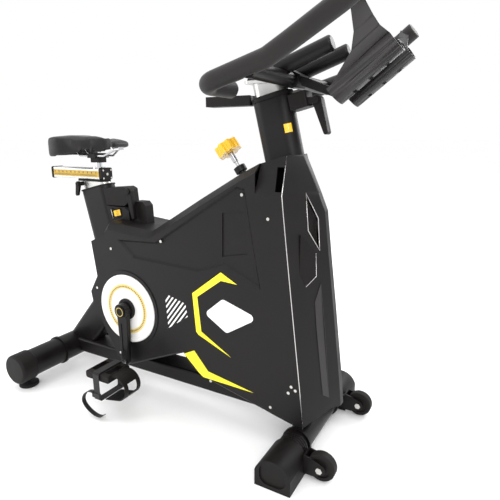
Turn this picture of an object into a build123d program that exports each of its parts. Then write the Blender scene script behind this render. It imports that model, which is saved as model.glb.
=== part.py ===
"""Commercial spin bike: one assembly of separate parts, millimetres, +Z up, +X forward."""
import os
from math import atan2, cos, degrees, radians, sin

from build123d import *

os.makedirs("parts", exist_ok=True)

# ---- driving dimensions -------------------------------------------------------------
half_width = 259.0          # half the length of the front stabiliser
rear_half = 277.0           # half the length of the rear stabiliser
rear_foot_x = -561.5        # rear stabiliser
front_foot_x = 394.5        # front stabiliser
rear_tube_r = 46.0
rear_tube_z = 79.0
front_tube_r = 35.0
front_tube_z = 42.0
tube_wall = 3.0
boot_length = 102.0
rear_boot_length = 58.0
rail_low = 60.0             # main rail, underside and top
rail_high = 110.0
rail_half = 40.0
crank_x = -196.5            # bottom bracket axis
crank_z = 311.0
crank_length = 170.0
fly_x = 135.0                # flywheel axis
fly_z = 350.0
fly_r = 180.0
fly_half = 13.0
side_y = 105.0              # outer face of the side shrouds
shroud_wall = 3.5
lean = 13.7                 # both posts lean back by this many degrees
seat_top = (-398.5, 0, 672.8)
head_top = (258.0, 0, 931.0)
run_gap = 0.05              # running clearance of sliding and turning fits
free_gap = 0.4              # clearance between parts that pass each other
grip_r = 21.0               # padded handlebar tube
centre_shift = 9.9          # puts the middle of the whole length on the origin
belt_low = 44.0             # belt plane, distances from the centre plane
belt_high = 60.0
big_pulley_r = 95.0
small_pulley_r = 32.0
axle_r = 8.5
knob_base = (157.5, 0, 755.0)
knob_lean = degrees(atan2(0.585, 0.811))

seat_plane = Plane(origin=seat_top, x_dir=(cos(radians(lean)), 0, sin(radians(lean))),
                   z_dir=(-sin(radians(lean)), 0, cos(radians(lean))))
head_plane = Plane(origin=head_top, x_dir=(cos(radians(lean)), 0, sin(radians(lean))),
                   z_dir=(-sin(radians(lean)), 0, cos(radians(lean))))
rod_plane = Plane(origin=knob_base, x_dir=(cos(radians(knob_lean)), 0, sin(radians(knob_lean))),
                  z_dir=(-sin(radians(knob_lean)), 0, cos(radians(knob_lean))))


def save(piece, node):
    """Label one finished part and write its STEP file."""
    placed = Location((centre_shift, 0, 0)) * piece.part
    placed.label = node
    export_step(placed, f"parts/{node}.step")


def side_plane(distance):
    """XZ sketch plane standing this far out on the rider's right."""
    return Plane.XZ.offset(distance)


def save_pair(piece, stem):
    """Write the right-hand part and its mirrored left-hand copy as two nodes."""
    save(piece, f"{stem}_right")
    with BuildPart() as other:
        mirror(piece.part, about=Plane.XZ)
    save(other, f"{stem}_left")


def save_both(piece, node):
    """Write a part and its mirrored copy as one node of separate solids."""
    with BuildPart() as both:
        add(piece.part)
        mirror(piece.part, about=Plane.XZ)
    save(both, node)


def save_group(pieces, node):
    """Write several finished parts as one node."""
    with BuildPart() as group:
        for piece in pieces:
            add(piece.part)
    save(group, node)


def y_cylinder(x, z, radius, low, high, mode=Mode.ADD):
    """Round bar along Y from y = -high to y = -low."""
    with BuildSketch(side_plane(low)) as disc:
        with Locations((x, z)):
            Circle(radius)
    extrude(disc.sketch, amount=high - low, mode=mode)


# ---- base: stabilisers, boots, feet, rail -----------------------------------------------
rear_flange_y = 40.0
with BuildPart() as rear_stabilizer:
    y_cylinder(rear_foot_x, rear_tube_z, rear_tube_r, -rear_half + 18, rear_half - 18)
    y_cylinder(rear_foot_x, rear_tube_z, rear_tube_r - tube_wall, -rear_half + 18,
               rear_half - 18, Mode.SUBTRACT)
    for side in (-1, 1):
        y_cylinder(rear_foot_x, rear_tube_z, rear_tube_r + 5, side * 97 - 4, side * 97 + 4)
        y_cylinder(rear_foot_x, rear_tube_z, rear_tube_r - tube_wall, side * 97 - 4,
                   side * 97 + 4, Mode.SUBTRACT)

with BuildPart() as front_stabilizer:
    y_cylinder(front_foot_x, front_tube_z, front_tube_r, -240, 240)
    for side in (-1, 1):
        y_cylinder(front_foot_x, front_tube_z, front_tube_r + 6, side * 110 - 4, side * 110 + 4)
    y_cylinder(front_foot_x, front_tube_z, front_tube_r - tube_wall, -240, 240, Mode.SUBTRACT)
save_group([rear_stabilizer, front_stabilizer], "stabilizers")

boot_low = half_width - boot_length
foot_x = -570.0
foot_y = 224.0
foot_r = 32.0
foot_top = 14.0
foot_stem_r = 6.0
rear_boot_r = 51.0
rear_boot_low = rear_half - rear_boot_length
with BuildPart() as rear_boot:
    y_cylinder(rear_foot_x, rear_tube_z, rear_boot_r, rear_boot_low, rear_half)
    fillet(rear_boot.edges().filter_by(GeomType.CIRCLE).group_by(Axis.Y)[0], 9)
    fillet(rear_boot.edges().filter_by(GeomType.CIRCLE).group_by(Axis.Y)[-1], 3)
    with Locations((foot_x, -foot_y, 26)):
        Cylinder(24, 20, align=(Align.CENTER, Align.CENTER, Align.MIN))
    with Locations((foot_x, -foot_y, rear_tube_z)):
        Cylinder(foot_stem_r + run_gap, rear_tube_z, align=(Align.CENTER, Align.CENTER, Align.MAX),
                 mode=Mode.SUBTRACT)
    y_cylinder(rear_foot_x, rear_tube_z, rear_tube_r + 0.1, rear_boot_low - 60, rear_half - 17,
               Mode.SUBTRACT)
save_both(rear_boot, "rear_boots")

with BuildPart() as levelling_foot:
    with BuildSketch(Plane.XZ.offset(foot_y)):
        with BuildLine():
            Polyline((foot_x, 0), (foot_x + foot_r - 2, 0), (foot_x + foot_r, 2),
                     (foot_x + foot_r, 10), (foot_x + foot_r - 5, foot_top),
                     (foot_x + foot_stem_r, foot_top), (foot_x + foot_stem_r, 30),
                     (foot_x, 30), close=True)
        make_face()
    revolve(axis=Axis((foot_x, -foot_y, 0), (0, 0, 1)))
save_pair(levelling_foot, "levelling_foot")

front_boot_half = 48.5
front_boot_height = 80.0
with BuildPart() as front_boot:
    with BuildSketch(side_plane(boot_low)):
        with BuildLine():
            Polyline((front_foot_x - front_boot_half, front_tube_z),
                     (front_foot_x - front_boot_half, 0),
                     (front_foot_x + front_boot_half, 0),
                     (front_foot_x + front_boot_half, front_tube_z))
            ThreePointArc((front_foot_x + front_boot_half, front_tube_z),
                          (front_foot_x, front_boot_height),
                          (front_foot_x - front_boot_half, front_tube_z))
        make_face()
    extrude(amount=boot_length)
    with BuildSketch(side_plane(half_width - 4)):
        with Locations((front_foot_x, front_tube_z - 2)):
            RectangleRounded(70, 58, 22)
    extrude(amount=4, mode=Mode.SUBTRACT)
    for rib in range(4):
        y_cylinder(front_foot_x, front_tube_z, front_tube_r + 4, boot_low - 6 - rib * 8,
                   boot_low - 2 - rib * 8)
    y_cylinder(front_foot_x, front_tube_z, front_tube_r + 2.5, boot_low - 34, boot_low)
    y_cylinder(front_foot_x, front_tube_z, front_tube_r + 0.1, boot_low - 40, 242, Mode.SUBTRACT)
save_both(front_boot, "front_boots")

with BuildPart() as base_rail:
    with Locations(((rear_foot_x + front_foot_x) / 2, 0, (rail_low + rail_high) / 2)):
        Box(front_foot_x - rear_foot_x, 2 * rail_half, rail_high - rail_low)
    fillet(base_rail.edges().filter_by(Axis.X), 8)
    with Locations(((rear_foot_x + front_foot_x) / 2, 0, (rail_low + rail_high) / 2)):
        Box(front_foot_x - rear_foot_x, 2 * rail_half - 6, rail_high - rail_low - 6,
            mode=Mode.SUBTRACT)
    y_cylinder(rear_foot_x, rear_tube_z, rear_tube_r, -60, 60, Mode.SUBTRACT)
    y_cylinder(front_foot_x, front_tube_z, front_tube_r, -60, 60, Mode.SUBTRACT)

# ---- transport wheels -------------------------------------------------------------------
wheel_x = 486.5
wheel_z = 39.5
wheel_y = 162.0
wheel_r = 36.5
wheel_half = 12.5
wheel_bolt_r = 5.0
with BuildPart() as wheel_bracket:
    for low in (wheel_y - 19, wheel_y + 15):
        with BuildSketch(side_plane(low)):
            with BuildLine():
                Polyline((443, 15), (443, 66), (468, 62), (500, 50), (500, 28), (468, 15), close=True)
            make_face()
            fillet([v for v in vertices() if v.X > 490], 10)
        extrude(amount=4)
    with BuildSketch(side_plane(wheel_y - 19)):
        with Locations((445, 40.5)):
            Rectangle(4, 51)
    extrude(amount=38)
    with Locations((430, -(wheel_y - 13.5), 40)):
        Box(26, 10.8, 40)
    y_cylinder(front_foot_x, front_tube_z, front_tube_r + 4.1, 120, 200, Mode.SUBTRACT)
    y_cylinder(wheel_x, wheel_z, wheel_bolt_r, wheel_y - 20, wheel_y + 20, Mode.SUBTRACT)
    add(front_boot.part, mode=Mode.SUBTRACT)
save_both(wheel_bracket, "wheel_brackets")

with BuildPart() as transport_wheel:
    y_cylinder(wheel_x, wheel_z, wheel_r, wheel_y - wheel_half, wheel_y + wheel_half)
    fillet(transport_wheel.edges().filter_by(GeomType.CIRCLE), 4)
    for low in (wheel_y - wheel_half, wheel_y + wheel_half - 4):
        with BuildSketch(side_plane(low)):
            with Locations((wheel_x, wheel_z)):
                Circle(26)
                Circle(13, mode=Mode.SUBTRACT)
        extrude(amount=4, mode=Mode.SUBTRACT)
    y_cylinder(wheel_x, wheel_z, wheel_bolt_r + run_gap, wheel_y - 20, wheel_y + 20, Mode.SUBTRACT)
save_pair(transport_wheel, "transport_wheel")

with BuildPart() as wheel_bolt:
    y_cylinder(wheel_x, wheel_z, wheel_bolt_r, wheel_y - 19, wheel_y + 19)
    for low in (wheel_y - 25, wheel_y + 19):
        with BuildSketch(side_plane(low)):
            with Locations((wheel_x, wheel_z)):
                RegularPolygon(9, 6)
        extrude(amount=6)

# ---- frame tubes ------------------------------------------------------------------------
seat_oval = (130.0, 60.0)
head_oval = (108.0, 62.0)
sleeve_wall = 4.0
seat_sleeve_length = 330.0
head_sleeve_length = 370.0
mast_stub = 50.0


def sleeve_oval(plane, size, length):
    """Solid oval bar hanging down from a sleeve's top plane."""
    with BuildSketch(plane) as oval:
        SlotOverall(size[0], size[1])
    extrude(oval.sketch, amount=-length)


with BuildPart() as seat_sleeve:
    sleeve_oval(seat_plane, seat_oval, seat_sleeve_length)
    with BuildSketch(seat_plane.offset(-seat_sleeve_length)):
        Rectangle(70, 50)
    extrude(amount=-mast_stub)
    with BuildSketch(seat_plane):
        SlotOverall(seat_oval[0] - 2 * sleeve_wall, seat_oval[1] - 2 * sleeve_wall)
    extrude(amount=-seat_sleeve_length + 5, mode=Mode.SUBTRACT)
    with BuildSketch(seat_plane.offset(-seat_sleeve_length)):
        Rectangle(64, 44)
    extrude(amount=-mast_stub + 3, mode=Mode.SUBTRACT)
save(seat_sleeve, "seat_sleeve")

with BuildPart() as head_sleeve:
    sleeve_oval(head_plane, head_oval, head_sleeve_length)
    with BuildSketch(head_plane):
        SlotOverall(head_oval[0] - 2 * sleeve_wall, head_oval[1] - 2 * sleeve_wall)
    extrude(amount=-head_sleeve_length + 5, mode=Mode.SUBTRACT)
save(head_sleeve, "head_sleeve")

down_tube_x = 360.0
with BuildPart() as down_tube:
    with Locations((down_tube_x, 0, rail_high)):
        Box(56, 50, 480, align=(Align.CENTER, Align.CENTER, Align.MIN))
    fillet(down_tube.edges().filter_by(Axis.Z), 8)
    with BuildSketch(head_plane.offset(-head_sleeve_length)):
        Rectangle(400, 300)
    extrude(amount=300, mode=Mode.SUBTRACT)
    with Locations((down_tube_x, 0, rail_high)):
        Box(50, 44, 600, align=(Align.CENTER, Align.CENTER, Align.MIN), mode=Mode.SUBTRACT)

strut_side = [(-596, 98), (-385, 338.5), (-310, 273), (-491, 62)]
with BuildPart() as rear_strut:
    with BuildSketch(side_plane(-31)):
        with BuildLine():
            Polyline(*strut_side, close=True)
        make_face()
    extrude(amount=62)
    fillet(rear_strut.edges().filter_by(Axis.Y, reverse=True).sort_by(SortBy.LENGTH)[-4:], 14)
    y_cylinder(rear_foot_x, rear_tube_z, rear_tube_r, -90, 90, Mode.SUBTRACT)
    with Locations((-450, 0, rail_high)):
        Box(500, 200, 200, align=(Align.CENTER, Align.CENTER, Align.MAX), mode=Mode.SUBTRACT)
    with BuildSketch(seat_plane):
        Rectangle(70, 50)
    extrude(amount=-700, mode=Mode.SUBTRACT)
    with BuildSketch(seat_plane):
        with Locations((250, 0)):
            Rectangle(500, 300)
    extrude(amount=-800, mode=Mode.SUBTRACT)
save_group([base_rail, rear_strut], "base_frame")

spine_low = (-300.0, 462.0)
spine_high = (320.0, 667.0)
spine_angle = degrees(atan2(spine_high[1] - spine_low[1], spine_high[0] - spine_low[0]))
spine_plane = Plane(origin=(spine_low[0], 0, spine_low[1]),
                    x_dir=(-sin(radians(spine_angle)), 0, cos(radians(spine_angle))),
                    z_dir=(cos(radians(spine_angle)), 0, sin(radians(spine_angle))))
rod_sleeve_r = 11.0
with BuildPart() as spine_tube:
    with BuildSketch(spine_plane):
        RectangleRounded(50, 40, 6)
        RectangleRounded(44, 34, 4, mode=Mode.SUBTRACT)
    extrude(amount=660)
    with BuildSketch(seat_plane):
        with Locations((-150, 0)):
            Rectangle(2 * (150 + seat_oval[0] / 2), 200)
    extrude(amount=-800, mode=Mode.SUBTRACT)
    with BuildSketch(head_plane):
        with Locations((200, 0)):
            Rectangle(2 * (200 + head_oval[0] / 2), 200)
    extrude(amount=-800, mode=Mode.SUBTRACT)
    with BuildSketch(rod_plane):
        Circle(rod_sleeve_r)
    extrude(amount=-300, mode=Mode.SUBTRACT)

# ---- bottom bracket, cranks, pedals -----------------------------------------------------
bearing_r = 20.0
with BuildPart() as bottom_bracket:
    y_cylinder(crank_x, crank_z, 26, -34, 34)
    with BuildSketch(side_plane(-20)):
        with BuildLine():
            Polyline((crank_x, crank_z + 24), (-300, crank_z + 45), (-260, crank_z - 75),
                     (crank_x, crank_z - 24), close=True)
        make_face()
    extrude(amount=40)
    with BuildSketch(seat_plane):
        with Locations((-150 + 35, 0)):
            Rectangle(300, 300)
    extrude(amount=-800, mode=Mode.SUBTRACT)
    y_cylinder(crank_x, crank_z, bearing_r, -34, 34, Mode.SUBTRACT)

with BuildPart() as crank_bearings:
    for low in (-33, 19):
        y_cylinder(crank_x, crank_z, bearing_r, low, low + 14)
        y_cylinder(crank_x, crank_z, axle_r + run_gap, low, low + 14, Mode.SUBTRACT)

arm_low = 119.0
arm_high = 133.0
pedal_low = 162.0
pedal_high = 250.0
spindle_r = 6.0
with BuildPart() as crank_axle:
    y_cylinder(crank_x, crank_z, axle_r, -128, 128)

with BuildPart() as drive_pulley:
    y_cylinder(crank_x, crank_z, big_pulley_r, belt_low, belt_high)
    y_cylinder(crank_x, crank_z, 20, belt_low - 8, belt_high)
    for low in (belt_low, belt_high - 5):
        with BuildSketch(side_plane(low)):
            with Locations((crank_x, crank_z)):
                Circle(85)
                Circle(24, mode=Mode.SUBTRACT)
        extrude(amount=5, mode=Mode.SUBTRACT)
    with BuildSketch(side_plane(belt_low)):
        with Locations((crank_x, crank_z)):
            with PolarLocations(54, 6):
                Circle(19)
    extrude(amount=20, mode=Mode.SUBTRACT)
    y_cylinder(crank_x, crank_z, axle_r, 0, 90, Mode.SUBTRACT)
save(drive_pulley, "drive_pulley")


def crank_arm(direction):
    """Forged arm on the rider's right; direction +1 points up, -1 points down."""
    tip = crank_z + direction * crank_length
    with BuildPart() as arm:
        with BuildSketch(side_plane(arm_low)):
            with Locations((crank_x, crank_z)):
                Circle(22)
            with Locations((crank_x, tip)):
                Circle(15)
            make_hull()
        extrude(amount=arm_high - arm_low)
        fillet(arm.edges().group_by(Axis.Y)[0], 3)
        with BuildSketch(side_plane(arm_high - 2)):
            with Locations((crank_x, crank_z + direction * 88)):
                SlotOverall(96, 12, rotation=90)
        extrude(amount=2, mode=Mode.SUBTRACT)
        y_cylinder(crank_x, crank_z, 24, 108.5, arm_high + 5)
        y_cylinder(crank_x, crank_z, axle_r, 0, 128, Mode.SUBTRACT)
        y_cylinder(crank_x, tip, spindle_r, arm_low, arm_high + 5, Mode.SUBTRACT)
    return arm


def crank_cap():
    """Round dust cap over the axle end."""
    with BuildPart() as cap:
        y_cylinder(crank_x, crank_z, 19, arm_high + 5, arm_high + 9)
        fillet(cap.edges().group_by(Axis.Y)[0], 1.5)
        with BuildSketch(side_plane(arm_high + 8)):
            with Locations((crank_x, crank_z)):
                Circle(13)
                Circle(10.5, mode=Mode.SUBTRACT)
        extrude(amount=1, mode=Mode.SUBTRACT)
    return cap


def pedal_set(z):
    """Spindle, platform, toe cage and strap of a pedal hanging with its cage down."""
    with BuildPart() as spindle:
        y_cylinder(crank_x, z, spindle_r, arm_low, pedal_high - 12)
        y_cylinder(crank_x, z, 9, arm_high + 5, pedal_low - 2)
        y_cylinder(crank_x, z, 9, pedal_high - 12, pedal_high - 8)
    with BuildPart() as platform:
        with BuildSketch(side_plane(pedal_low)):
            with Locations((crank_x, z)):
                RectangleRounded(96, 24, 8)
        extrude(amount=pedal_high - pedal_low)
        for window in (-30, 30):
            with Locations((crank_x + window, -(pedal_low + pedal_high) / 2, z)):
                Box(22, 56, 40, mode=Mode.SUBTRACT)
        y_cylinder(crank_x, z, spindle_r + run_gap, 150, 240, Mode.SUBTRACT)
        y_cylinder(crank_x, z, 9 + 0.4, pedal_high - 12.4, pedal_high - 4, Mode.SUBTRACT)
        fillet(platform.edges().filter_by(Axis.X).group_by(Axis.Y)[0], 3)
    with BuildPart() as cage:
        with BuildSketch(side_plane(pedal_low + 12)):
            with BuildLine():
                Polyline((crank_x + 48, z + 8), (crank_x + 68, z + 8))
                ThreePointArc((crank_x + 68, z + 8), (crank_x + 98, z - 24), (crank_x + 72, z - 62))
                Polyline((crank_x + 72, z - 62), (crank_x + 16, z - 74), (crank_x + 16, z - 77),
                         (crank_x + 73, z - 65))
                ThreePointArc((crank_x + 73, z - 65), (crank_x + 101, z - 24),
                              (crank_x + 68, z + 11))
                Polyline((crank_x + 68, z + 11), (crank_x + 48, z + 11), (crank_x + 48, z + 8))
            make_face()
        extrude(amount=64)
        with Locations((crank_x + 90, -(pedal_low + 44), z - 26)):
            Box(60, 36, 34, mode=Mode.SUBTRACT)
    with BuildPart() as strap:
        with BuildSketch(Plane.YZ.offset(crank_x - 12)):
            with Locations((-(pedal_low + pedal_high) / 2, z - 30)):
                RectangleRounded(98, 92, 8)
                RectangleRounded(94.4, 88.4, 6, mode=Mode.SUBTRACT)
        extrude(amount=24)
        y_cylinder(crank_x, z, 11, 140, 190, Mode.SUBTRACT)
        with Locations((crank_x + 60, -(pedal_low + pedal_high) / 2, z - 70)):
            Box(88, 70, 16, mode=Mode.SUBTRACT)
        with Locations((crank_x - 2, -(pedal_high + 5), z - 58)):
            Box(30, 8, 14)
        with BuildSketch(side_plane(pedal_high - 2)):
            with BuildLine():
                Spline((crank_x - 10, z - 53), (crank_x - 46, z - 62), (crank_x - 60, z - 90),
                       (crank_x - 38, z - 116), (crank_x + 22, z - 117))
                Line((crank_x + 22, z - 117), (crank_x + 22, z - 119.5))
                Spline((crank_x + 22, z - 119.5), (crank_x - 39, z - 118.5),
                       (crank_x - 62.5, z - 90), (crank_x - 47, z - 60), (crank_x - 10, z - 50.5))
                Line((crank_x - 10, z - 50.5), (crank_x - 10, z - 53))
            make_face()
        extrude(amount=13)
    return spindle, platform, cage, strap


def mirrored(piece):
    """Copy of a part on the other side of the centre plane."""
    with BuildPart() as other:
        mirror(piece.part, about=Plane.XZ)
    return other


low_pedal = pedal_set(crank_z - crank_length)
high_pedal = [mirrored(piece) for piece in pedal_set(crank_z + crank_length)]
save(crank_arm(-1), "crank_arm_right")
save(mirrored(crank_arm(1)), "crank_arm_left")
save_both(crank_cap(), "crank_caps")
save_group([crank_axle, low_pedal[0], high_pedal[0]], "crank_axle")
for hand, pieces in (("right", low_pedal), ("left", high_pedal)):
    save_group(pieces[1:3], f"pedal_{hand}")
    save(pieces[3], f"pedal_strap_{hand}")

# ---- flywheel, belt, brake --------------------------------------------------------------
with BuildPart() as flywheel:
    with BuildSketch(Plane.XY.offset(fly_z)):
        with BuildLine():
            Polyline((fly_x + 17.5, -70), (fly_x + 24, -70), (fly_x + 24, -14), (fly_x + 45, -6),
                     (fly_x + 126, -6), (fly_x + 134, -fly_half), (fly_x + fly_r - 2, -fly_half),
                     (fly_x + fly_r, 2 - fly_half), (fly_x + fly_r, fly_half - 2),
                     (fly_x + fly_r - 2, fly_half), (fly_x + 134, fly_half), (fly_x + 126, 6),
                     (fly_x + 45, 6), (fly_x + 24, 14), (fly_x + 24, 26), (fly_x + 17.5, 26),
                     close=True)
        make_face()
    revolve(axis=Axis((fly_x, 0, fly_z), (0, 1, 0)))
save(flywheel, "flywheel")

with BuildPart() as flywheel_pulley:
    y_cylinder(fly_x, fly_z, small_pulley_r, belt_low, belt_high)
    y_cylinder(fly_x, fly_z, 24, 0, 90, Mode.SUBTRACT)

with BuildPart() as flywheel_bearings:
    for low in (-25, 56):
        y_cylinder(fly_x, fly_z, 17.5, low, low + 12)
        y_cylinder(fly_x, fly_z, axle_r + run_gap, low, low + 12, Mode.SUBTRACT)
save_group([flywheel_pulley, flywheel_bearings], "flywheel_hub")

plate_right = 75.0
plate_left = -31.0
with BuildPart() as fork_plates:
    for low in (plate_right, plate_left - 6):
        with BuildSketch(side_plane(low)):
            with BuildLine():
                Polyline((fly_x, fly_z + 24), (fly_x, fly_z - 24), (388, fly_z - 45),
                         (388, fly_z + 45), close=True)
            make_face()
            with Locations((fly_x, fly_z)):
                Circle(24)
        extrude(amount=6)
    with Locations((down_tube_x, -25, fly_z)):
        Box(52, plate_right - 25, 60, align=(Align.CENTER, Align.MAX, Align.CENTER))
    with Locations((down_tube_x, 25, fly_z)):
        Box(52, 6, 60, align=(Align.CENTER, Align.MIN, Align.CENTER))
    y_cylinder(fly_x, fly_z, axle_r, -60, 100, Mode.SUBTRACT)

with BuildPart() as flywheel_axle:
    y_cylinder(fly_x, fly_z, axle_r, -47, 91)
    for low in (-45, 81):
        with BuildSketch(side_plane(low)):
            with Locations((fly_x, fly_z)):
                RegularPolygon(14, 6)
        extrude(amount=8)
save_group([flywheel_axle, crank_bearings], "axle_parts")

belt_gap = 0.3
belt_thick = 4.0


def belt_outline(grow):
    """Closed outline round both pulleys, this much larger than they are."""
    with Locations((crank_x, crank_z)):
        Circle(big_pulley_r + grow)
    with Locations((fly_x, fly_z)):
        Circle(small_pulley_r + grow)
    make_hull()


with BuildPart() as drive_belt:
    with BuildSketch(side_plane(belt_low + 0.5)):
        belt_outline(belt_gap + belt_thick)
    extrude(amount=belt_high - belt_low - 1)
    with BuildSketch(side_plane(belt_low + 0.5)):
        belt_outline(belt_gap)
    extrude(amount=belt_high - belt_low - 1, mode=Mode.SUBTRACT)
save(drive_belt, "drive_belt")

brake_x = 140.0
brake_z = 560.0
with BuildPart() as brake_bracket:
    for low in (5, -9):
        with BuildSketch(side_plane(low)):
            with BuildLine():
                Polyline((brake_x - 14, 620), (brake_x + 14, 620), (brake_x + 9, brake_z - 8),
                         (brake_x - 9, brake_z - 8), close=True)
            make_face()
        extrude(amount=4)
    y_cylinder(brake_x, brake_z, 4, -12, 12)
    with BuildSketch(spine_plane):
        Rectangle(50, 60)
    extrude(amount=660, mode=Mode.SUBTRACT)
    with BuildSketch(spine_plane):
        with Locations((100, 0)):
            Rectangle(150, 60)
    extrude(amount=660, mode=Mode.SUBTRACT)
save_group([down_tube, spine_tube, bottom_bracket, fork_plates, brake_bracket],
           "inner_frame")


def rim_point(radius, angle):
    """Point at this radius and angle above the horizontal, seen from the flywheel centre."""
    return (fly_x + radius * cos(radians(angle)), fly_z + radius * sin(radians(angle)))


arm_r = fly_r + 17
yoke_r = fly_r + 27
cheek_r = fly_r - 35
yoke_from = 52
yoke_span = 20
rod_end = 188.0
boss = (knob_base[0] + (rod_end + 1) * sin(radians(knob_lean)),
        knob_base[2] - (rod_end + 1) * cos(radians(knob_lean)))
with BuildPart() as brake_arm:
    with BuildSketch(side_plane(-4)):
        with BuildLine():
            Polyline((brake_x - 10, brake_z - 4), (brake_x - 4, brake_z + 9),
                     (brake_x + 60, brake_z + 8), (boss[0] - 8, boss[1] - 6),
                     (boss[0] + 10, boss[1] + 7), (boss[0] + 16, boss[1] - 14),
                     rim_point(arm_r, 52))
            ThreePointArc(rim_point(arm_r, 52), rim_point(arm_r, 67), rim_point(arm_r, 82))
            Line(rim_point(arm_r, 82), (brake_x - 10, brake_z - 4))
        make_face()
    extrude(amount=8)
    with BuildSketch(side_plane(-22)):
        with BuildLine():
            CenterArc((fly_x, fly_z), yoke_r, yoke_from, yoke_span)
            Line(rim_point(yoke_r, yoke_from + yoke_span), rim_point(arm_r, yoke_from + yoke_span))
            CenterArc((fly_x, fly_z), arm_r, yoke_from + yoke_span, -yoke_span)
            Line(rim_point(arm_r, yoke_from), rim_point(yoke_r, yoke_from))
        make_face()
    extrude(amount=44)
    for low in (16.5, -22):
        with BuildSketch(side_plane(low)):
            with BuildLine():
                CenterArc((fly_x, fly_z), yoke_r, yoke_from, yoke_span)
                Line(rim_point(yoke_r, yoke_from + yoke_span),
                     rim_point(cheek_r, yoke_from + yoke_span))
                CenterArc((fly_x, fly_z), cheek_r, yoke_from + yoke_span, -yoke_span)
                Line(rim_point(cheek_r, yoke_from), rim_point(yoke_r, yoke_from))
            make_face()
        extrude(amount=5.5)
    y_cylinder(brake_x, brake_z, 4 + run_gap, -10, 10, Mode.SUBTRACT)

with BuildPart() as brake_magnets:
    for low in (14.5, -16.5):
        for angle in (55.5, 62, 68.5):
            with BuildSketch(side_plane(low)):
                with Locations(rim_point(fly_r - 20, angle)):
                    Rectangle(20, 12, rotation=angle)
            extrude(amount=2)
save_group([brake_arm, brake_magnets], "brake_arm")
# ---- resistance knob --------------------------------------------------------------------
rod_r = 5.5
with BuildPart() as rod_sleeve:
    with BuildSketch(rod_plane.offset(4)):
        Circle(rod_sleeve_r)
    extrude(amount=-(4 + rod_end - 18))
    with BuildSketch(rod_plane.offset(-12)):
        Circle(17)
    extrude(amount=16)
    with BuildSketch(rod_plane.offset(10)):
        Circle(rod_r + run_gap)
    extrude(amount=-400, mode=Mode.SUBTRACT)
save(rod_sleeve, "rod_sleeve")

with BuildPart() as push_rod:
    with BuildSketch(rod_plane.offset(-rod_end)):
        Circle(rod_r)
    extrude(amount=rod_end + 60)
    with BuildSketch(rod_plane.offset(20)):
        Circle(8)
    extrude(amount=28)
save(push_rod, "push_rod")

with BuildPart() as resistance_knob:
    with BuildSketch(rod_plane.offset(50)):
        Circle(29)
        with PolarLocations(27, 8):
            Circle(8)
    extrude(amount=30)
    fillet(resistance_knob.faces().filter_by(rod_plane).sort_by(Axis.Z)[-1].edges(), 3)
    with BuildSketch(rod_plane.offset(48.4)):
        Circle(16)
    extrude(amount=2)
    with BuildSketch(rod_plane.offset(48)):
        Circle(rod_r + run_gap)
    extrude(amount=12.4, mode=Mode.SUBTRACT)
save(resistance_knob, "resistance_knob")

# ---- seat post, slider, saddle ----------------------------------------------------------
seat_post_oval = (112.0, 42.0)
post_wall = 3.5
bush_depth = 70.0


def post_bush(plane, sleeve, post, rim):
    """Plastic liner in the mouth of a sleeve, with a rim standing on it."""
    with BuildPart() as bush:
        with BuildSketch(plane):
            SlotOverall(sleeve[0] - 2 * sleeve_wall, sleeve[1] - 2 * sleeve_wall)
        extrude(amount=-bush_depth)
        with BuildSketch(plane):
            SlotOverall(sleeve[0] + 6, sleeve[1] + 6)
        extrude(amount=rim)
        fillet(bush.faces().filter_by(plane).sort_by(Axis.Z)[-1].edges(), 2)
        with BuildSketch(plane.offset(20)):
            SlotOverall(post[0] + 2 * run_gap, post[1] + 2 * run_gap)
        extrude(amount=-200, mode=Mode.SUBTRACT)
    return bush


seat_bush = post_bush(seat_plane, seat_oval, seat_post_oval, 4)

slider_low = 701.0
slider_high = 738.0
slider_rear = -597.0
slider_front = -360.0
slider_half = 22.0
carriage_top = slider_low - 0.3
carriage_thick = 6.0
with BuildPart() as seat_post:
    with BuildSketch(seat_plane.offset(-290)):
        SlotOverall(*seat_post_oval)
    extrude(amount=330)
    with BuildSketch(seat_plane.offset(-290)):
        SlotOverall(seat_post_oval[0] - 2 * post_wall, seat_post_oval[1] - 2 * post_wall)
    extrude(amount=300, mode=Mode.SUBTRACT)
    with Locations((-390, 0, carriage_top - carriage_thick)):
        Box(300, 200, 200, align=(Align.CENTER, Align.CENTER, Align.MIN), mode=Mode.SUBTRACT)
save(seat_post, "seat_post")

slot_half = 6.0
cavity_half = 17.0
plate_x = -414.0
key_x = -431.0
key_length = 48.0
with BuildPart() as seat_carriage:
    with Locations((plate_x, 0, carriage_top - carriage_thick)):
        Box(112, 46, carriage_thick, align=(Align.CENTER, Align.CENTER, Align.MIN))
    fillet(seat_carriage.edges().filter_by(Axis.Z), 6)
    with Locations((key_x, 0, carriage_top)):
        Box(key_length, 2 * slot_half - 0.8, 10, align=(Align.CENTER, Align.CENTER, Align.MIN))
    with Locations((key_x, 0, carriage_top + 6.3)):
        Box(key_length, 2 * cavity_half - 6, 5, align=(Align.CENTER, Align.CENTER, Align.MIN))

with BuildPart() as seat_slider:
    with BuildSketch(Plane.YZ.offset(slider_rear + 6)):
        with Locations((0, (slider_low + slider_high) / 2)):
            RectangleRounded(2 * slider_half, slider_high - slider_low, 4)
            Rectangle(2 * cavity_half, slider_high - slider_low - 11, mode=Mode.SUBTRACT)
        with Locations((0, slider_low)):
            Rectangle(2 * slot_half, 16, mode=Mode.SUBTRACT)
        for side in (-1, 1):
            with Locations((side * slider_half, (slider_low + slider_high) / 2)):
                Rectangle(2, 22, mode=Mode.SUBTRACT)
    extrude(amount=slider_front - slider_rear - 12)
save(seat_slider, "seat_slider")

with BuildPart() as slider_scales:
    for side in (-1, 1):
        with Locations(((slider_rear + slider_front) / 2, side * (slider_half - 0.6),
                        (slider_low + slider_high) / 2)):
            Box(slider_front - slider_rear - 16, 0.8, 20)
save(slider_scales, "slider_scales")

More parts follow.
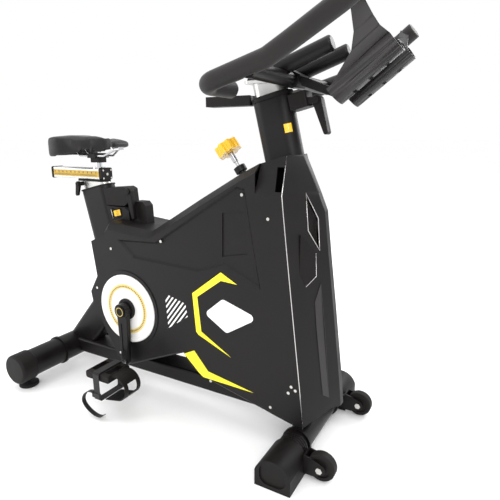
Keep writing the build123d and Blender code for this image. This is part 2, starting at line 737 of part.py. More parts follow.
with BuildPart() as slider_ends:
    with BuildSketch(Plane.YZ.offset(slider_rear)):
        with Locations((0, (slider_low + slider_high) / 2)):
            RectangleRounded(2 * slider_half + 4, slider_high - slider_low + 3, 6)
    extrude(amount=6)
    with BuildSketch(Plane.YZ.offset(slider_front - 6)):
        with Locations((0, (slider_low + slider_high) / 2 + 1)):
            RectangleRounded(2 * slider_half + 4, slider_high - slider_low + 2, 6)
    extrude(amount=12)
save(slider_ends, "slider_ends")

with BuildPart() as slider_bolts:
    with BuildSketch(Plane.YZ.offset(slider_front + 6)):
        with Locations((0, 719.5)):
            with GridLocations(34, 26, 2, 2):
                Circle(3.2)
            Circle(4.5)
    extrude(amount=2.5)
save(slider_bolts, "slider_bolts")

pin_x = -388.0
with BuildPart() as seat_pin:
    with Locations((pin_x, 0, slider_high)):
        Cylinder(21.5, 5, align=(Align.CENTER, Align.CENTER, Align.MIN))
        Cylinder(11, 44, align=(Align.CENTER, Align.CENTER, Align.MIN))
save(seat_pin, "seat_pin")

rail_y = 21.0
rail_z = 779.0
with BuildPart() as saddle_clamp:
    with Locations((pin_x, 0, 757)):
        Box(44, 34, 30, align=(Align.CENTER, Align.CENTER, Align.MIN))
    fillet(saddle_clamp.edges().filter_by(Axis.Z), 6)
    with Locations((pin_x, 0, rail_z)):
        Box(34, 62, 14)
    with BuildSketch(Plane.YZ.offset(pin_x - 60)):
        with Locations((-rail_y, rail_z), (rail_y, rail_z)):
            Circle(3.5)
    extrude(amount=120, mode=Mode.SUBTRACT)
    with Locations((pin_x, 0, slider_high)):
        Cylinder(11 + run_gap, 44.5, align=(Align.CENTER, Align.CENTER, Align.MIN),
                 mode=Mode.SUBTRACT)
save(saddle_clamp, "saddle_clamp")

with BuildPart() as saddle_rails:
    for side in (-1, 1):
        with BuildLine() as rail_path:
            FilletPolyline((-470, side * rail_y, 800), (-450, side * rail_y, rail_z),
                           (-340, side * rail_y, rail_z), (-300, side * 7, 800), radius=10)
        with BuildSketch(Plane(origin=rail_path.line @ 0, z_dir=rail_path.line % 0)):
            Circle(3.5)
        sweep(path=rail_path.line)
    with Locations((-465, 0, 805)):
        Box(32, 70, 6)
    with Locations((-300, 0, 803)):
        Box(34, 22, 9)
save(saddle_rails, "saddle_rails")

saddle_rear = -570.0
saddle_nose = -266.0
saddle_half = 84.0


def saddle_outline(inset):
    """Plan outline of the saddle, pulled in by inset all round."""
    rear = saddle_rear + inset
    nose = saddle_nose - inset
    right = [(rear + 4, inset - 46), (rear + 24, inset - 74), (rear + 68, inset - saddle_half),
             (rear + 124, inset - 60), (rear + 180, inset - 31), (nose - 30, inset - 21)]
    with BuildSketch(Plane.XY.offset(755)) as plan:
        with BuildLine():
            Spline((rear, 0), *right, (nose, 0), tangents=[(0, -1), (0, 1)])
            Spline((rear, 0), *[(x, -y) for x, y in right], (nose, 0), tangents=[(0, 1), (0, -1)])
        make_face()
    return plan.sketch


with BuildPart() as saddle_pad:
    extrude(saddle_outline(0), amount=100)
    with BuildSketch(side_plane(-120)):
        with BuildLine():
            Spline((saddle_rear - 5, 820), (saddle_rear + 22, 834), (saddle_rear + 90, 838),
                   (saddle_rear + 150, 834), (-340, 837), (-295, 828), (saddle_nose + 2, 812))
            Line((saddle_nose + 2, 812), (saddle_nose + 2, 800))
            Spline((saddle_nose + 2, 800), (-340, 791), (-450, 783), (-540, 773),
                   (saddle_rear - 5, 778))
            Line((saddle_rear - 5, 778), (saddle_rear - 5, 820))
        make_face()
    extrude(amount=240, mode=Mode.INTERSECT)
    extrude(saddle_outline(11), amount=53, mode=Mode.SUBTRACT)
    add(saddle_rails.part, mode=Mode.SUBTRACT)
save(saddle_pad, "saddle_pad")

# ---- clamps and levers ------------------------------------------------------------------
clamp_side = [(-352, 676), (-262, 684), (-246, 677), (-242, 634), (-258, 622), (-338, 620)]
with BuildPart() as seat_clamp:
    with BuildSketch(side_plane(-27)):
        with BuildLine():
            Polyline(*clamp_side, close=True)
        make_face()
        fillet(vertices(), 5)
    extrude(amount=54)
    fillet(seat_clamp.edges().group_by(Axis.Y)[0], 3)
    fillet(seat_clamp.edges().group_by(Axis.Y)[-1], 3)
    with BuildSketch(seat_plane.offset(-80)):
        SlotOverall(seat_oval[0], seat_oval[1])
    extrude(amount=80, mode=Mode.SUBTRACT)
    with BuildSketch(seat_plane.offset(0.001)):
        SlotOverall(seat_oval[0] + 8, seat_oval[1] + 8)
    extrude(amount=20, mode=Mode.SUBTRACT)

with BuildPart() as head_clamp:
    with BuildSketch(head_plane.offset(-44)):
        with Locations((head_oval[0] / 2 + 20, 0)):
            RectangleRounded(50, 48, 6)
    extrude(amount=40)
    fillet(head_clamp.edges().filter_by(Axis.Y), 3)
    with BuildSketch(head_plane.offset(-60)):
        SlotOverall(head_oval[0], head_oval[1])
    extrude(amount=80, mode=Mode.SUBTRACT)


def hanging_lever(pivot, tip, low, high):
    """Cam lever: a round head on the pivot and a tapered grip hanging to the tip."""
    with BuildPart() as lever:
        with BuildSketch(side_plane(low)):
            with Locations(pivot):
                Circle(12)
            with Locations(tip):
                Circle(6)
            make_hull()
        extrude(amount=high - low)
        fillet(lever.edges().group_by(Axis.Y)[0], 3)
        fillet(lever.edges().group_by(Axis.Y)[-1], 3)
        y_cylinder(pivot[0], pivot[1], 4 + run_gap, -60, 60, Mode.SUBTRACT)
    return lever


def lever_pin(pivot, inner, low, high):
    """Cross pin of a cam lever with two ears that join it to its clamp box."""
    with BuildPart() as pin:
        y_cylinder(pivot[0], pivot[1], 4, low - 5, high + 5)
        for ear in (low - 4.5, high + 0.5):
            with BuildSketch(side_plane(ear)):
                with Locations(pivot):
                    Circle(8)
                with Locations(inner):
                    Circle(8)
                make_hull()
            extrude(amount=4)
    return pin


seat_pivot = (-228.0, 672.0)
head_pivot = (382.0, 925.0)
seat_lever = hanging_lever(seat_pivot, (-214, 590), 24, 40)
save(seat_lever, "seat_lever")
head_lever = hanging_lever(head_pivot, (408, 850), -14, 14)
save(head_lever, "head_lever")

with BuildPart() as seat_lever_pin:
    add(lever_pin(seat_pivot, (-250, 668), 24, 40).part)
    add(seat_clamp.part, mode=Mode.SUBTRACT)
with BuildPart() as head_lever_pin:
    add(lever_pin(head_pivot, (352, 925), -14, 14).part)
    add(head_clamp.part, mode=Mode.SUBTRACT)
save_group([seat_clamp, seat_lever_pin], "seat_clamp")
save_group([head_clamp, head_lever_pin], "head_clamp")

slide_pivot = (-450.0, 686.0)
with BuildPart() as slider_lever:
    with BuildSketch(side_plane(34)):
        with Locations(slide_pivot):
            Circle(9)
        with Locations((slide_pivot[0] - 8, slide_pivot[1] - 34)):
            Circle(6)
        make_hull()
    extrude(amount=8)
    y_cylinder(slide_pivot[0], slide_pivot[1], 4 + run_gap, 10, 50, Mode.SUBTRACT)
save(slider_lever, "slider_lever")
with BuildPart() as slider_lever_pin:
    y_cylinder(slide_pivot[0], slide_pivot[1], 4, 16.5, 45)
    y_cylinder(slide_pivot[0], slide_pivot[1], 7, 42.5, 45)
    y_cylinder(slide_pivot[0], slide_pivot[1], 7, 16.5, 33.5)
    add(seat_post.part, mode=Mode.SUBTRACT)
save_group([seat_carriage, slider_lever_pin], "seat_carriage")

# ---- handlebar post, bars, tray ---------------------------------------------------------
head_bush = post_bush(head_plane, head_oval, (92.0, 46.0), 12)
save_group([seat_bush, head_bush], "post_bushes")
flange_low = 971.0
flange_high = 978.0
with BuildPart() as handlebar_post:
    with BuildSketch(head_plane.offset(-310)):
        SlotOverall(92.0, 46.0)
    extrude(amount=380)
    with BuildSketch(head_plane.offset(-310)):
        SlotOverall(92.0 - 2 * post_wall, 46.0 - 2 * post_wall)
    extrude(amount=330, mode=Mode.SUBTRACT)
    with Locations((240, 0, flange_low)):
        Box(300, 200, 200, align=(Align.CENTER, Align.CENTER, Align.MIN), mode=Mode.SUBTRACT)
    with BuildSketch(Plane.XY.offset(flange_low)):
        with Locations((239, 0)):
            RectangleRounded(106, 62, 14)
    extrude(amount=flange_high - flange_low)
save(handlebar_post, "handlebar_post")

cross_x = 316.5
cross_z = 975.0
arm_y = 235.0
with BuildPart() as handlebar_cross:
    y_cylinder(cross_x, cross_z, 18, -arm_y, arm_y)
    for side in (-1, 1):
        with BuildSketch(Plane(origin=(296, side * 60, 994), z_dir=(0.944, 0, 0.33))):
            Circle(19)
        extrude(amount=148)
    fillet(handlebar_cross.edges().filter_by(GeomType.CIRCLE).group_by(Axis.X)[-1], 6)
    with Locations((292, 0, 986)):
        Box(60, 158, 12)
save(handlebar_cross, "handlebar_cross")

with BuildPart() as handlebar_arm:
    with BuildLine() as bar_path:
        FilletPolyline((202.5, -112, 950), (202.5, -arm_y, 950), (360, -arm_y, 994),
                       (412, -arm_y, 1022), (515, -arm_y, 1080), (552, -230, 1108), radius=34)
    with BuildSketch(Plane(origin=bar_path.line @ 0, z_dir=bar_path.line % 0)):
        Circle(grip_r)
    sweep(path=bar_path.line)
    add(handlebar_cross.part, mode=Mode.SUBTRACT)
save_both(handlebar_arm, "handlebar_arms")

with BuildPart() as bar_stem:
    with BuildSketch(side_plane(-28)):
        with BuildLine():
            Polyline((196, flange_high), (295, flange_high), (303, 958), (334, 956), (344, 985),
                     (300, 1006), (205, 992), close=True)
        make_face()
    extrude(amount=56)
    add(handlebar_cross.part, mode=Mode.SUBTRACT)

with BuildPart() as rear_bracket:
    with Locations((131, 0, 918)):
        Box(141, 40, 26, align=(Align.CENTER, Align.CENTER, Align.MIN))
    fillet(rear_bracket.edges().filter_by(Axis.Z), 4)
    with BuildSketch(head_plane.offset(-80)):
        SlotOverall(head_oval[0] + 6.2, head_oval[1] + 6.2)
    extrude(amount=160, mode=Mode.SUBTRACT)
save(rear_bracket, "rear_bracket")

trough_angle = 38.5
trough_y = 61.0
trough_r = 39.0
trough_plane = Plane(origin=(438.5, 0, 941), x_dir=(0, 1, 0),
                     z_dir=(cos(radians(trough_angle)), 0, sin(radians(trough_angle))))
trough_length = 166.0
tray_wall = 3.0
with BuildPart() as console_tray:
    with BuildSketch(trough_plane):
        for side in (-1, 1):
            with Locations((side * trough_y, 0)):
                Circle(trough_r)
                Circle(trough_r - tray_wall, mode=Mode.SUBTRACT)
        with Locations((0, 60)):
            Rectangle(500, 120, mode=Mode.SUBTRACT)
        with Locations((0, -tray_wall / 2)):
            Rectangle(2 * (trough_y - trough_r) + 1, tray_wall)
    extrude(amount=trough_length)
    for side in (-1, 1):
        with BuildSketch(trough_plane):
            with Locations((side * trough_y, -tray_wall / 2)):
                SlotOverall(2 * trough_r - 2, tray_wall)
            with Locations((side * trough_y, 0)):
                Circle(trough_r)
                with Locations((0, 60)):
                    Rectangle(200, 120, mode=Mode.SUBTRACT)
        extrude(amount=tray_wall)
    for low in (36, 78, 120):
        for side in (-1, 1):
            with BuildSketch(trough_plane.offset(low)):
                with Locations((side * trough_y, -trough_r)):
                    Rectangle(26, 16)
            extrude(amount=9, mode=Mode.SUBTRACT)

wing_thick = 3.0
wing_rear = [(450, 97, 950), (503, 134, 1009), (514.5, 160, 1039), (516.5, 200, 1087),
             (520, 216, 1108)]
wing_front = [(568, 97, 1044), (558, 134, 1052), (551, 160, 1066), (544.5, 200, 1086),
              (541, 216, 1098)]


def wing_section(index):
    """Closed four-sided section of the side wing between its rear and front edges."""
    rear = Vector(*wing_rear[index])
    front = Vector(*wing_front[index])
    step = Vector(0, wing_thick, 0)
    return Face(Wire.make_polygon([rear, front, front + step, rear + step], close=True))


tray_wings = Part() + [
    loft(sections=[wing_section(i), wing_section(i + 1)], ruled=True)
    for i in range(len(wing_rear) - 1)]
with BuildPart() as wing_left:
    add(tray_wings)
    add(handlebar_arm.part.mirror(Plane.XZ), mode=Mode.SUBTRACT)
save_group([console_tray, wing_left, mirrored(wing_left)], "console_tray")

with BuildPart() as tray_bracket:
    for low in (10, -20):
        with BuildSketch(side_plane(low)):
            with BuildLine():
                Polyline((336, 985), (345, 960), (440, 926), (500, 975), (492, 985), (438, 946),
                         close=True)
            make_face()
        extrude(amount=10)
    with BuildSketch(trough_plane):
        with Locations((0, 100 - tray_wall)):
            Rectangle(400, 200)
    extrude(amount=300, mode=Mode.SUBTRACT)
    add(bar_stem.part, mode=Mode.SUBTRACT)
    add(handlebar_cross.part, mode=Mode.SUBTRACT)
save_group([bar_stem, tray_bracket], "bar_stem")

# ---- shroud -----------------------------------------------------------------------------
seam = 0.5
outline = [(-342.5, 512), (-327.5, 399), (-362.5, 342), (-356.5, 306), (-257.5, 131),
           (-199.5, 114), (-91.5, 162), (15.5, 207), (39.5, 172), (80.5, 149), (334.5, 89),
           (407.5, 80), (395.5, 194), (368.5, 417), (343.5, 626), (335.5, 700), (327.5, 794), (262, 774), (210, 748),
           (78, 672), (-99.5, 566), (-118.5, 566), (-271.5, 580), (-290, 560), (-308, 528)]
arrow_panel = [(-222, 532), (-70, 540), (205, 716), (232, 712), (280, 448), (162, 500),
               (85, 471), (-165, 480)]
window_panel = [(161, 644), (228, 652), (237, 540), (159, 524)]


def side_shell(points, depth, shrink):
    """Solid half shroud from the centre plane out, inset all round by shrink."""
    with BuildPart() as half:
        with BuildSketch(side_plane(0)):
            with BuildLine():
                Polyline(*points, close=True)
            make_face()
            if shrink:
                offset(amount=-shrink, mode=Mode.REPLACE)
        extrude(amount=depth)
        top = half.edges().group_by(Axis.Y)[0].filter_by(
            lambda e: e.center().Z > 520 and e.center().X < 322 and e.length > 15)
        chamfer(top, 26, 20)
        rest = half.faces().sort_by(Axis.Y)[0].edges().filter_by(
            lambda e: e.center().Z < 500 and e.center().X < 330 and e.length > 15)
        chamfer(rest, 6)
        with BuildSketch(Plane.YZ.offset(262)):
            with BuildLine():
                Polyline((-depth - 20, 700 - shrink), (-depth, 700 - shrink),
                         (shrink - 62, 795 - shrink), (shrink - 62, 840), (-depth - 20, 840),
                         close=True)
            make_face()
        extrude(amount=120, mode=Mode.SUBTRACT)
    return half


with BuildPart() as shroud_side:
    add(side_shell(outline, side_y, 0).part)
    with BuildSketch(side_plane(side_y)):
        with BuildLine():
            Polyline(*arrow_panel, close=True)
        make_face()
    extrude(amount=-6, taper=45, mode=Mode.SUBTRACT)
    with BuildSketch(side_plane(side_y - 6)):
        with BuildLine():
            Polyline(*window_panel, close=True)
        make_face()
    extrude(amount=-3, mode=Mode.SUBTRACT)
    with BuildPart(mode=Mode.PRIVATE) as hollow:
        add(side_shell(outline, side_y - shroud_wall, shroud_wall).part)
        with BuildSketch(side_plane(side_y)) as grown:
            with BuildLine():
                Polyline(*arrow_panel, close=True)
            make_face()
            offset(amount=3, mode=Mode.REPLACE)
        extrude(amount=-12.5, mode=Mode.SUBTRACT)
    add(hollow.part, mode=Mode.SUBTRACT)
    with Locations((100, 0, 30)):
        Box(800, 2 * (rail_half + 0.5), 81, align=(Align.CENTER, Align.CENTER, Align.MIN),
            mode=Mode.SUBTRACT)
    with BuildSketch(seat_plane.offset(60)):
        SlotOverall(seat_oval[0] + 2, seat_oval[1] + 2)
    extrude(amount=-700, mode=Mode.SUBTRACT)
    with BuildSketch(head_plane):
        SlotOverall(head_oval[0] + 2, head_oval[1] + 2)
    extrude(amount=-head_sleeve_length - 10, mode=Mode.SUBTRACT)
    with BuildSketch(side_plane(-1)):
        with BuildLine():
            Polyline((310, 766), (326, 626), (351, 417), (378, 194), (389, 100), (420, 96),
                     (412, 194), (385, 417), (360, 626), (342, 766), close=True)
        make_face()
    extrude(amount=side_y - shroud_wall + 1, mode=Mode.SUBTRACT)
    add(rear_strut.part, mode=Mode.SUBTRACT)
    with BuildSketch(rod_plane.offset(60)):
        Circle(18)
    extrude(amount=-100, mode=Mode.SUBTRACT)
    y_cylinder(crank_x, crank_z, 22, 90, 120, Mode.SUBTRACT)
    with BuildSketch(side_plane(side_y)):
        with Locations((crank_x, crank_z)):
            Circle(124)
            Circle(113, mode=Mode.SUBTRACT)
        with BuildLine():
            Polyline(*outline, close=True)
        make_face(mode=Mode.INTERSECT)
    extrude(amount=2.5)
save_pair(shroud_side, "shroud")

# height, seam x, half width at the seam, x of the narrow flat nose
cover_rows = [(795, 328, 62, 351), (700, 336, 105, 395), (655, 341, 105.5, 414),
              (530, 355.5, 105.5, 430), (417, 369, 105.5, 445), (194, 396, 105.5, 473),
              (79, 408, 105.5, 484)]
nose_half = 11.0
cover_lap = 3.0


def cover_section(row, inset, grow):
    """Plan section of the front cover at one height, inset from its outer skin."""
    level, seam_x, seam_half, nose_x = row
    half = seam_half - inset
    flat = nose_half - inset * 0.3
    ring = [(seam_x - grow, -half), (seam_x + cover_lap - inset * 0.4, -half),
            (nose_x - inset, -flat), (nose_x - inset, flat),
            (seam_x + cover_lap - inset * 0.4, half), (seam_x - grow, half)]
    return Face(Wire.make_polygon([Vector(x, y, level) for x, y in ring], close=True))


cover_outer = loft(sections=[cover_section(row, 0, 0) for row in cover_rows], ruled=True)
cover_inner = loft(sections=[cover_section(row, 3, 20) for row in cover_rows], ruled=True)
vent = [(374, 702), (403, 639), (411, 557), (387, 610)]
with BuildPart() as shroud_front:
    add(cover_outer)
    add(cover_inner, mode=Mode.SUBTRACT)
    with BuildSketch(side_plane(-110)):
        with BuildLine():
            Polyline(*vent, close=True)
        make_face()
        fillet(vertices(), 3)
    extrude(amount=220, mode=Mode.SUBTRACT)
    with BuildSketch(head_plane):
        SlotOverall(head_oval[0] + 2, head_oval[1] + 2)
    extrude(amount=-head_sleeve_length - 10, mode=Mode.SUBTRACT)
    with BuildSketch(Plane.YZ.offset(300)):
        with BuildLine():
            Polyline((-200, 0), (200, 0), (200, 86), (105, 86), (34, 122), (-34, 122), (-105, 86),
                     (-200, 86), close=True)
        make_face()
    extrude(amount=200, mode=Mode.SUBTRACT)
save(shroud_front, "shroud_front")

# ---- covers, decals, screws -------------------------------------------------------------
cover_r = 111.0
with BuildPart() as crank_cover:
    y_cylinder(crank_x, crank_z, cover_r, side_y + 0.05, side_y + 3.2)
    fillet(crank_cover.edges().group_by(Axis.Y)[0], 2)
    y_cylinder(crank_x, crank_z, 22, side_y - 1, side_y + 5, Mode.SUBTRACT)
save_both(crank_cover, "crank_covers")

decal_thick = 0.45
hatch = [(-42.5, 388), (32.5, 368), (39.5, 329), (-33.5, 279)]
diamond = [(99.5, 352), (161.5, 405), (273.5, 369), (173.5, 306)]
upper_bracket = [(208, 454), (157, 481), (59, 405), (69, 289), (77, 281), (186, 236), (87, 293),
                 (76, 397), (157, 457)]
lower_bracket = [(22, 208), (59, 227), (107, 172), (259, 146), (90, 149), (75, 159)]
with BuildPart() as white_decal:
    with BuildSketch(side_plane(side_y + 0.05)):
        with BuildLine():
            Polyline(*diamond, close=True)
        make_face()
        fillet(vertices(), 12)
    extrude(amount=decal_thick)
    with BuildSketch(side_plane(side_y + 0.05)):
        with Locations(*[(-66 + 15 * stripe, 330) for stripe in range(9)]):
            Rectangle(5, 190, rotation=-38)
        with BuildLine():
            Polyline(*hatch, close=True)
        make_face(mode=Mode.INTERSECT)
    extrude(amount=decal_thick)
save_both(white_decal, "decals_white")
with BuildPart() as yellow_decal:
    for points in (upper_bracket, lower_bracket):
        with BuildSketch(side_plane(side_y + 0.05)):
            with BuildLine():
                Polyline(*points, close=True)
            make_face()
        extrude(amount=decal_thick)
save_both(yellow_decal, "decals_yellow")

screw_spots = [(225, 696), (-48, 545), (-250, 500), (116, 143.6), (312, 118), (373, 197), (385, 189),
               (365, 177), (300, 640), (-325, 360), (-240, 150)]
with BuildPart() as side_screws:
    for x, z in screw_spots:
        y_cylinder(x, z, 4.2, side_y - 1.5, side_y + 1.6)
    add(shroud_side.part, mode=Mode.SUBTRACT)
with BuildPart() as base_bolts:
    with Locations((front_foot_x, -78, front_tube_z + front_tube_r - 1.0)):
        Cylinder(11, 3.3, align=(Align.CENTER, Align.CENTER, Align.MIN))
    with BuildSketch(side_plane(arm_low)):
        with Locations((front_foot_x - 26, front_tube_z + 26), (front_foot_x + 26, front_tube_z + 26)):
            Circle(3)
    add(front_stabilizer.part, mode=Mode.SUBTRACT)
with BuildPart() as frame_bolts:
    for piece in (side_screws, base_bolts, wheel_bolt):
        add(piece.part)
        mirror(piece.part, about=Plane.XZ)
save(frame_bolts, "frame_bolts")

with BuildPart() as post_cover:
    with BuildSketch(side_plane(-18)):
        with BuildLine():
            Polyline((-240, 556), (-236, 628), (-224, 640), (-190, 640), (-178, 628), (-174, 556),
                     close=True)
        make_face()
        fillet([v for v in vertices() if v.Z > 600], 8)
    extrude(amount=36)
    with BuildSketch(side_plane(-28)):
        with BuildLine():
            Polyline((-345, 556), (-345, 619), (-256, 619), (-240, 606), (-236, 556), close=True)
        make_face()
    extrude(amount=56)
    with BuildSketch(seat_plane.offset(10)):
        SlotOverall(seat_oval[0] + 0.2, seat_oval[1] + 0.2)
    extrude(amount=-300, mode=Mode.SUBTRACT)
    with BuildSketch(seat_plane.offset(10)):
        with Locations((-200, 0)):
            Rectangle(400, 200)
    extrude(amount=-300, mode=Mode.SUBTRACT)
    with Locations((-292, -28, 598)):
        Box(42, 4, 30, mode=Mode.SUBTRACT)
    add(shroud_side.part, mode=Mode.SUBTRACT)
    add(mirrored(shroud_side).part, mode=Mode.SUBTRACT)
save(post_cover, "post_cover")
print("nodes", len(os.listdir("parts")))
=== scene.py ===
import bmesh
import bpy
from math import cos, pi, radians, sin
from mathutils import Matrix, Vector


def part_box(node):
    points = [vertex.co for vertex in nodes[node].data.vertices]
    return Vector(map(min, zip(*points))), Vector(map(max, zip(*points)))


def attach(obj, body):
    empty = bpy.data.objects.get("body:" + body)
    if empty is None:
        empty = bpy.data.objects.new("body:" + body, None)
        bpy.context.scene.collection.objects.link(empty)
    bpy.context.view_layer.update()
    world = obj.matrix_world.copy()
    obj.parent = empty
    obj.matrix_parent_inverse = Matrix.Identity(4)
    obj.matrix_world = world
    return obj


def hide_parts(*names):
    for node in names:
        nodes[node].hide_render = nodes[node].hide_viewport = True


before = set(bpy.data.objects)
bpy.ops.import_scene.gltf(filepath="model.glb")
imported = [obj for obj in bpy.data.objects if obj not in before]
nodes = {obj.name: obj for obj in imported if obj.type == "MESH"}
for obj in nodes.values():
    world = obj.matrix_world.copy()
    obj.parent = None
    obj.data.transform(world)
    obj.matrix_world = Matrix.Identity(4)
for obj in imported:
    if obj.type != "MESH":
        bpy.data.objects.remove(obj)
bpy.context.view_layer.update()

print("frame loaded with", len(nodes), "nodes")

# camera: a 33 mm lens at chest height, looking down at the bike's right side
cameraView = {"place": (0.8286, -1.1185, 0.8403), "azimuth": 29.365, "pitch": 13.80,
              "roll": -0.098, "lens": 33.34}


def makeCamera():
    data = bpy.data.cameras.new("bikeCamera")
    data.lens = cameraView["lens"]
    data.sensor_width = 36
    data.clip_start = 0.02
    camera = bpy.data.objects.new("bikeCamera", data)
    bpy.context.collection.objects.link(camera)
    camera.rotation_mode = "XYZ"
    turn = (Matrix.Rotation(radians(cameraView["azimuth"]), 4, "Z")
            @ Matrix.Rotation(radians(90 - cameraView["pitch"]), 4, "X")
            @ Matrix.Rotation(radians(cameraView["roll"]), 4, "Z"))
    camera.matrix_world = Matrix.Translation(cameraView["place"]) @ turn
    bpy.context.scene.camera = camera


makeCamera()


def linearColour(code, alpha=1.0):
    # sRGB hex to the linear values that Blender's sockets take
    channels = [int(code[i:i + 2], 16) / 255 for i in (1, 3, 5)]
    return tuple(c / 12.92 if c <= 0.04045 else ((c + 0.055) / 1.055) ** 2.4
                 for c in channels) + (alpha,)


studio = {"floor": "#FFFFFF", "reach": 90, "key": 52, "fill": 22, "rim": 40, "top": 30, "world": 1.0}


def makeStudio():
    floorMesh = bpy.data.meshes.new("studioFloor")
    reach = studio["reach"]
    floorMesh.from_pydata([(-reach, -reach, 0), (reach, -reach, 0), (reach, reach, 0),
                           (-reach, reach, 0)], [], [(0, 1, 2, 3)])
    floor = bpy.data.objects.new("studioFloor", floorMesh)
    floor.location.z = -0.0005
    bpy.context.collection.objects.link(floor)
    paint = bpy.data.materials.new("matt white studio paint")
    paint.use_nodes = True
    shader = paint.node_tree.nodes["Principled BSDF"]
    shader.inputs["Base Color"].default_value = linearColour(studio["floor"])
    shader.inputs["Roughness"].default_value = 0.9
    floorMesh.materials.append(paint)
    lights = [("key", (1.6, -2.4, 2.3), 1.6, studio["key"]),
              ("fill", (-2.2, -1.6, 1.4), 1.8, studio["fill"]),
              ("rim", (1.2, 2.4, 1.9), 1.5, studio["rim"]),
              ("top", (0.0, 0.0, 3.0), 2.4, studio["top"])]
    for name, place, size, power in lights:
        light = bpy.data.lights.new(name, "AREA")
        light.energy = power
        light.size = size
        lamp = bpy.data.objects.new(name, light)
        lamp.location = place
        aim = Vector((0, 0, 0.55)) - Vector(place)
        lamp.rotation_euler = aim.to_track_quat("-Z", "Y").to_euler()
        bpy.context.collection.objects.link(lamp)
    world = bpy.data.worlds.new("paleRoom")
    world.use_nodes = True
    world.node_tree.nodes["Background"].inputs["Color"].default_value = (1, 1, 1, 1)
    world.node_tree.nodes["Background"].inputs["Strength"].default_value = studio["world"]
    bpy.context.scene.world = world


makeStudio()
bpy.context.scene.view_settings.view_transform = "Standard"
print("camera and studio ready")


def addNode(tree, kind, inputs=None, **settings):
    # one node, its settings, and its input values or links
    node = tree.nodes.new(kind)
    for name, value in settings.items():
        setattr(node, name, value)
    for name, value in (inputs or {}).items():
        socket = node.inputs[name]
        if isinstance(value, bpy.types.NodeSocket):
            tree.links.new(value, socket)
        else:
            socket.default_value = value
    return node


def newMaterial(name, colour, roughness, metallic=0.0, **sockets):
    # a Principled material with whole-surface values on its own sockets
    material = bpy.data.materials.new(name)
    material.use_nodes = True
    shader = material.node_tree.nodes["Principled BSDF"]
    shader.inputs["Base Color"].default_value = linearColour(colour)
    shader.inputs["Roughness"].default_value = roughness
    shader.inputs["Metallic"].default_value = metallic
    for key, value in sockets.items():
        shader.inputs[key.replace("_", " ")].default_value = value
    return material, material.node_tree, shader


def grain(tree, shader, perMetre, height, roughLow, roughHigh, detail=3.0, stretch=(1, 1, 1)):
    # a fine bump and a slow change of roughness, both on object coordinates in metres
    place = addNode(tree, "ShaderNodeTexCoord")
    shaped = addNode(tree, "ShaderNodeMapping", {"Vector": place.outputs["Object"], "Scale": stretch})
    fine = addNode(tree, "ShaderNodeTexNoise", {"Vector": shaped.outputs["Vector"],
                                                "Scale": perMetre, "Detail": detail})
    bump = addNode(tree, "ShaderNodeBump", {"Height": fine.outputs["Fac"], "Distance": height,
                                            "Strength": 0.6})
    tree.links.new(bump.outputs["Normal"], shader.inputs["Normal"])
    slow = addNode(tree, "ShaderNodeTexNoise", {"Vector": place.outputs["Object"], "Scale": 14.0,
                                                "Detail": 4.0})
    rough = addNode(tree, "ShaderNodeMapRange", {"Value": slow.outputs["Fac"], "From Min": 0.3,
                                                 "From Max": 0.7, "To Min": roughLow,
                                                 "To Max": roughHigh})
    tree.links.new(rough.outputs["Result"], shader.inputs["Roughness"])
    return place, fine, slow


def mottle(tree, shader, driver, dark, light, low=0.3, high=0.7):
    # base colour drifting between two tones with a noise
    ramp = addNode(tree, "ShaderNodeValToRGB", {"Fac": driver})
    ramp.color_ramp.elements[0].position = low
    ramp.color_ramp.elements[0].color = linearColour(dark)
    ramp.color_ramp.elements[1].position = high
    ramp.color_ramp.elements[1].color = linearColour(light)
    tree.links.new(ramp.outputs["Color"], shader.inputs["Base Color"])
    return ramp


# satin black polyester powder coat: faint orange peel, even sheen
powderCoat, tree, shader = newMaterial("satin black powder coat",
                                       "#0C0A0A", 0.42, Specular_IOR_Level=0.24)
place, fine, slow = grain(tree, shader, 700.0, 0.00012, 0.36, 0.48)
mottle(tree, shader, slow.outputs["Fac"], "#0A0808", "#110E0E")

# spark-textured ABS moulding: a dry, fine pebble that breaks up highlights
shroudAbs, tree, shader = newMaterial("spark textured black ABS",
                                      "#0D0B0B", 0.5, Specular_IOR_Level=0.26)
place, fine, slow = grain(tree, shader, 900.0, 0.00010, 0.42, 0.56)
mottle(tree, shader, slow.outputs["Fac"], "#0B0909", "#120F0F")

# glass-filled nylon boots and clamps: a little greyer and rougher than the shroud
nylonBlack, tree, shader = newMaterial("moulded black nylon",
                                       "#0E0B0B", 0.55, Specular_IOR_Level=0.2)
place, fine, slow = grain(tree, shader, 600.0, 0.00016, 0.46, 0.62)
mottle(tree, shader, slow.outputs["Fac"], "#0B0909", "#141110")

# matt polypropylene tray: broad soft highlights
trayPlastic, tree, shader = newMaterial("matt black polypropylene",
                                        "#211F1F", 0.46, Specular_IOR_Level=0.5)
place, fine, slow = grain(tree, shader, 520.0, 0.00010, 0.42, 0.55)
mottle(tree, shader, slow.outputs["Fac"], "#1B1919", "#262323")

# dipped PVC foam on the bars: soft, slightly open skin
gripFoam, tree, shader = newMaterial("dipped PVC grip foam",
                                     "#151212", 0.6, Sheen_Weight=0.1, Specular_IOR_Level=0.3)
place, fine, slow = grain(tree, shader, 420.0, 0.00025, 0.52, 0.66, detail=5.0)
mottle(tree, shader, slow.outputs["Fac"], "#110E0E", "#1B1817")

# turned or machined mild steel
machinedSteel, tree, shader = newMaterial("machined steel", "#B9B9BB", 0.3, 1.0)
grain(tree, shader, 300.0, 0.00004, 0.24, 0.36, stretch=(1, 14, 1))

# zinc plated bolt heads: bright with a faint crystalline cloud
zincPlate, tree, shader = newMaterial("zinc plated steel", "#C9C8C4", 0.25, 1.0)
grain(tree, shader, 900.0, 0.00003, 0.18, 0.32)

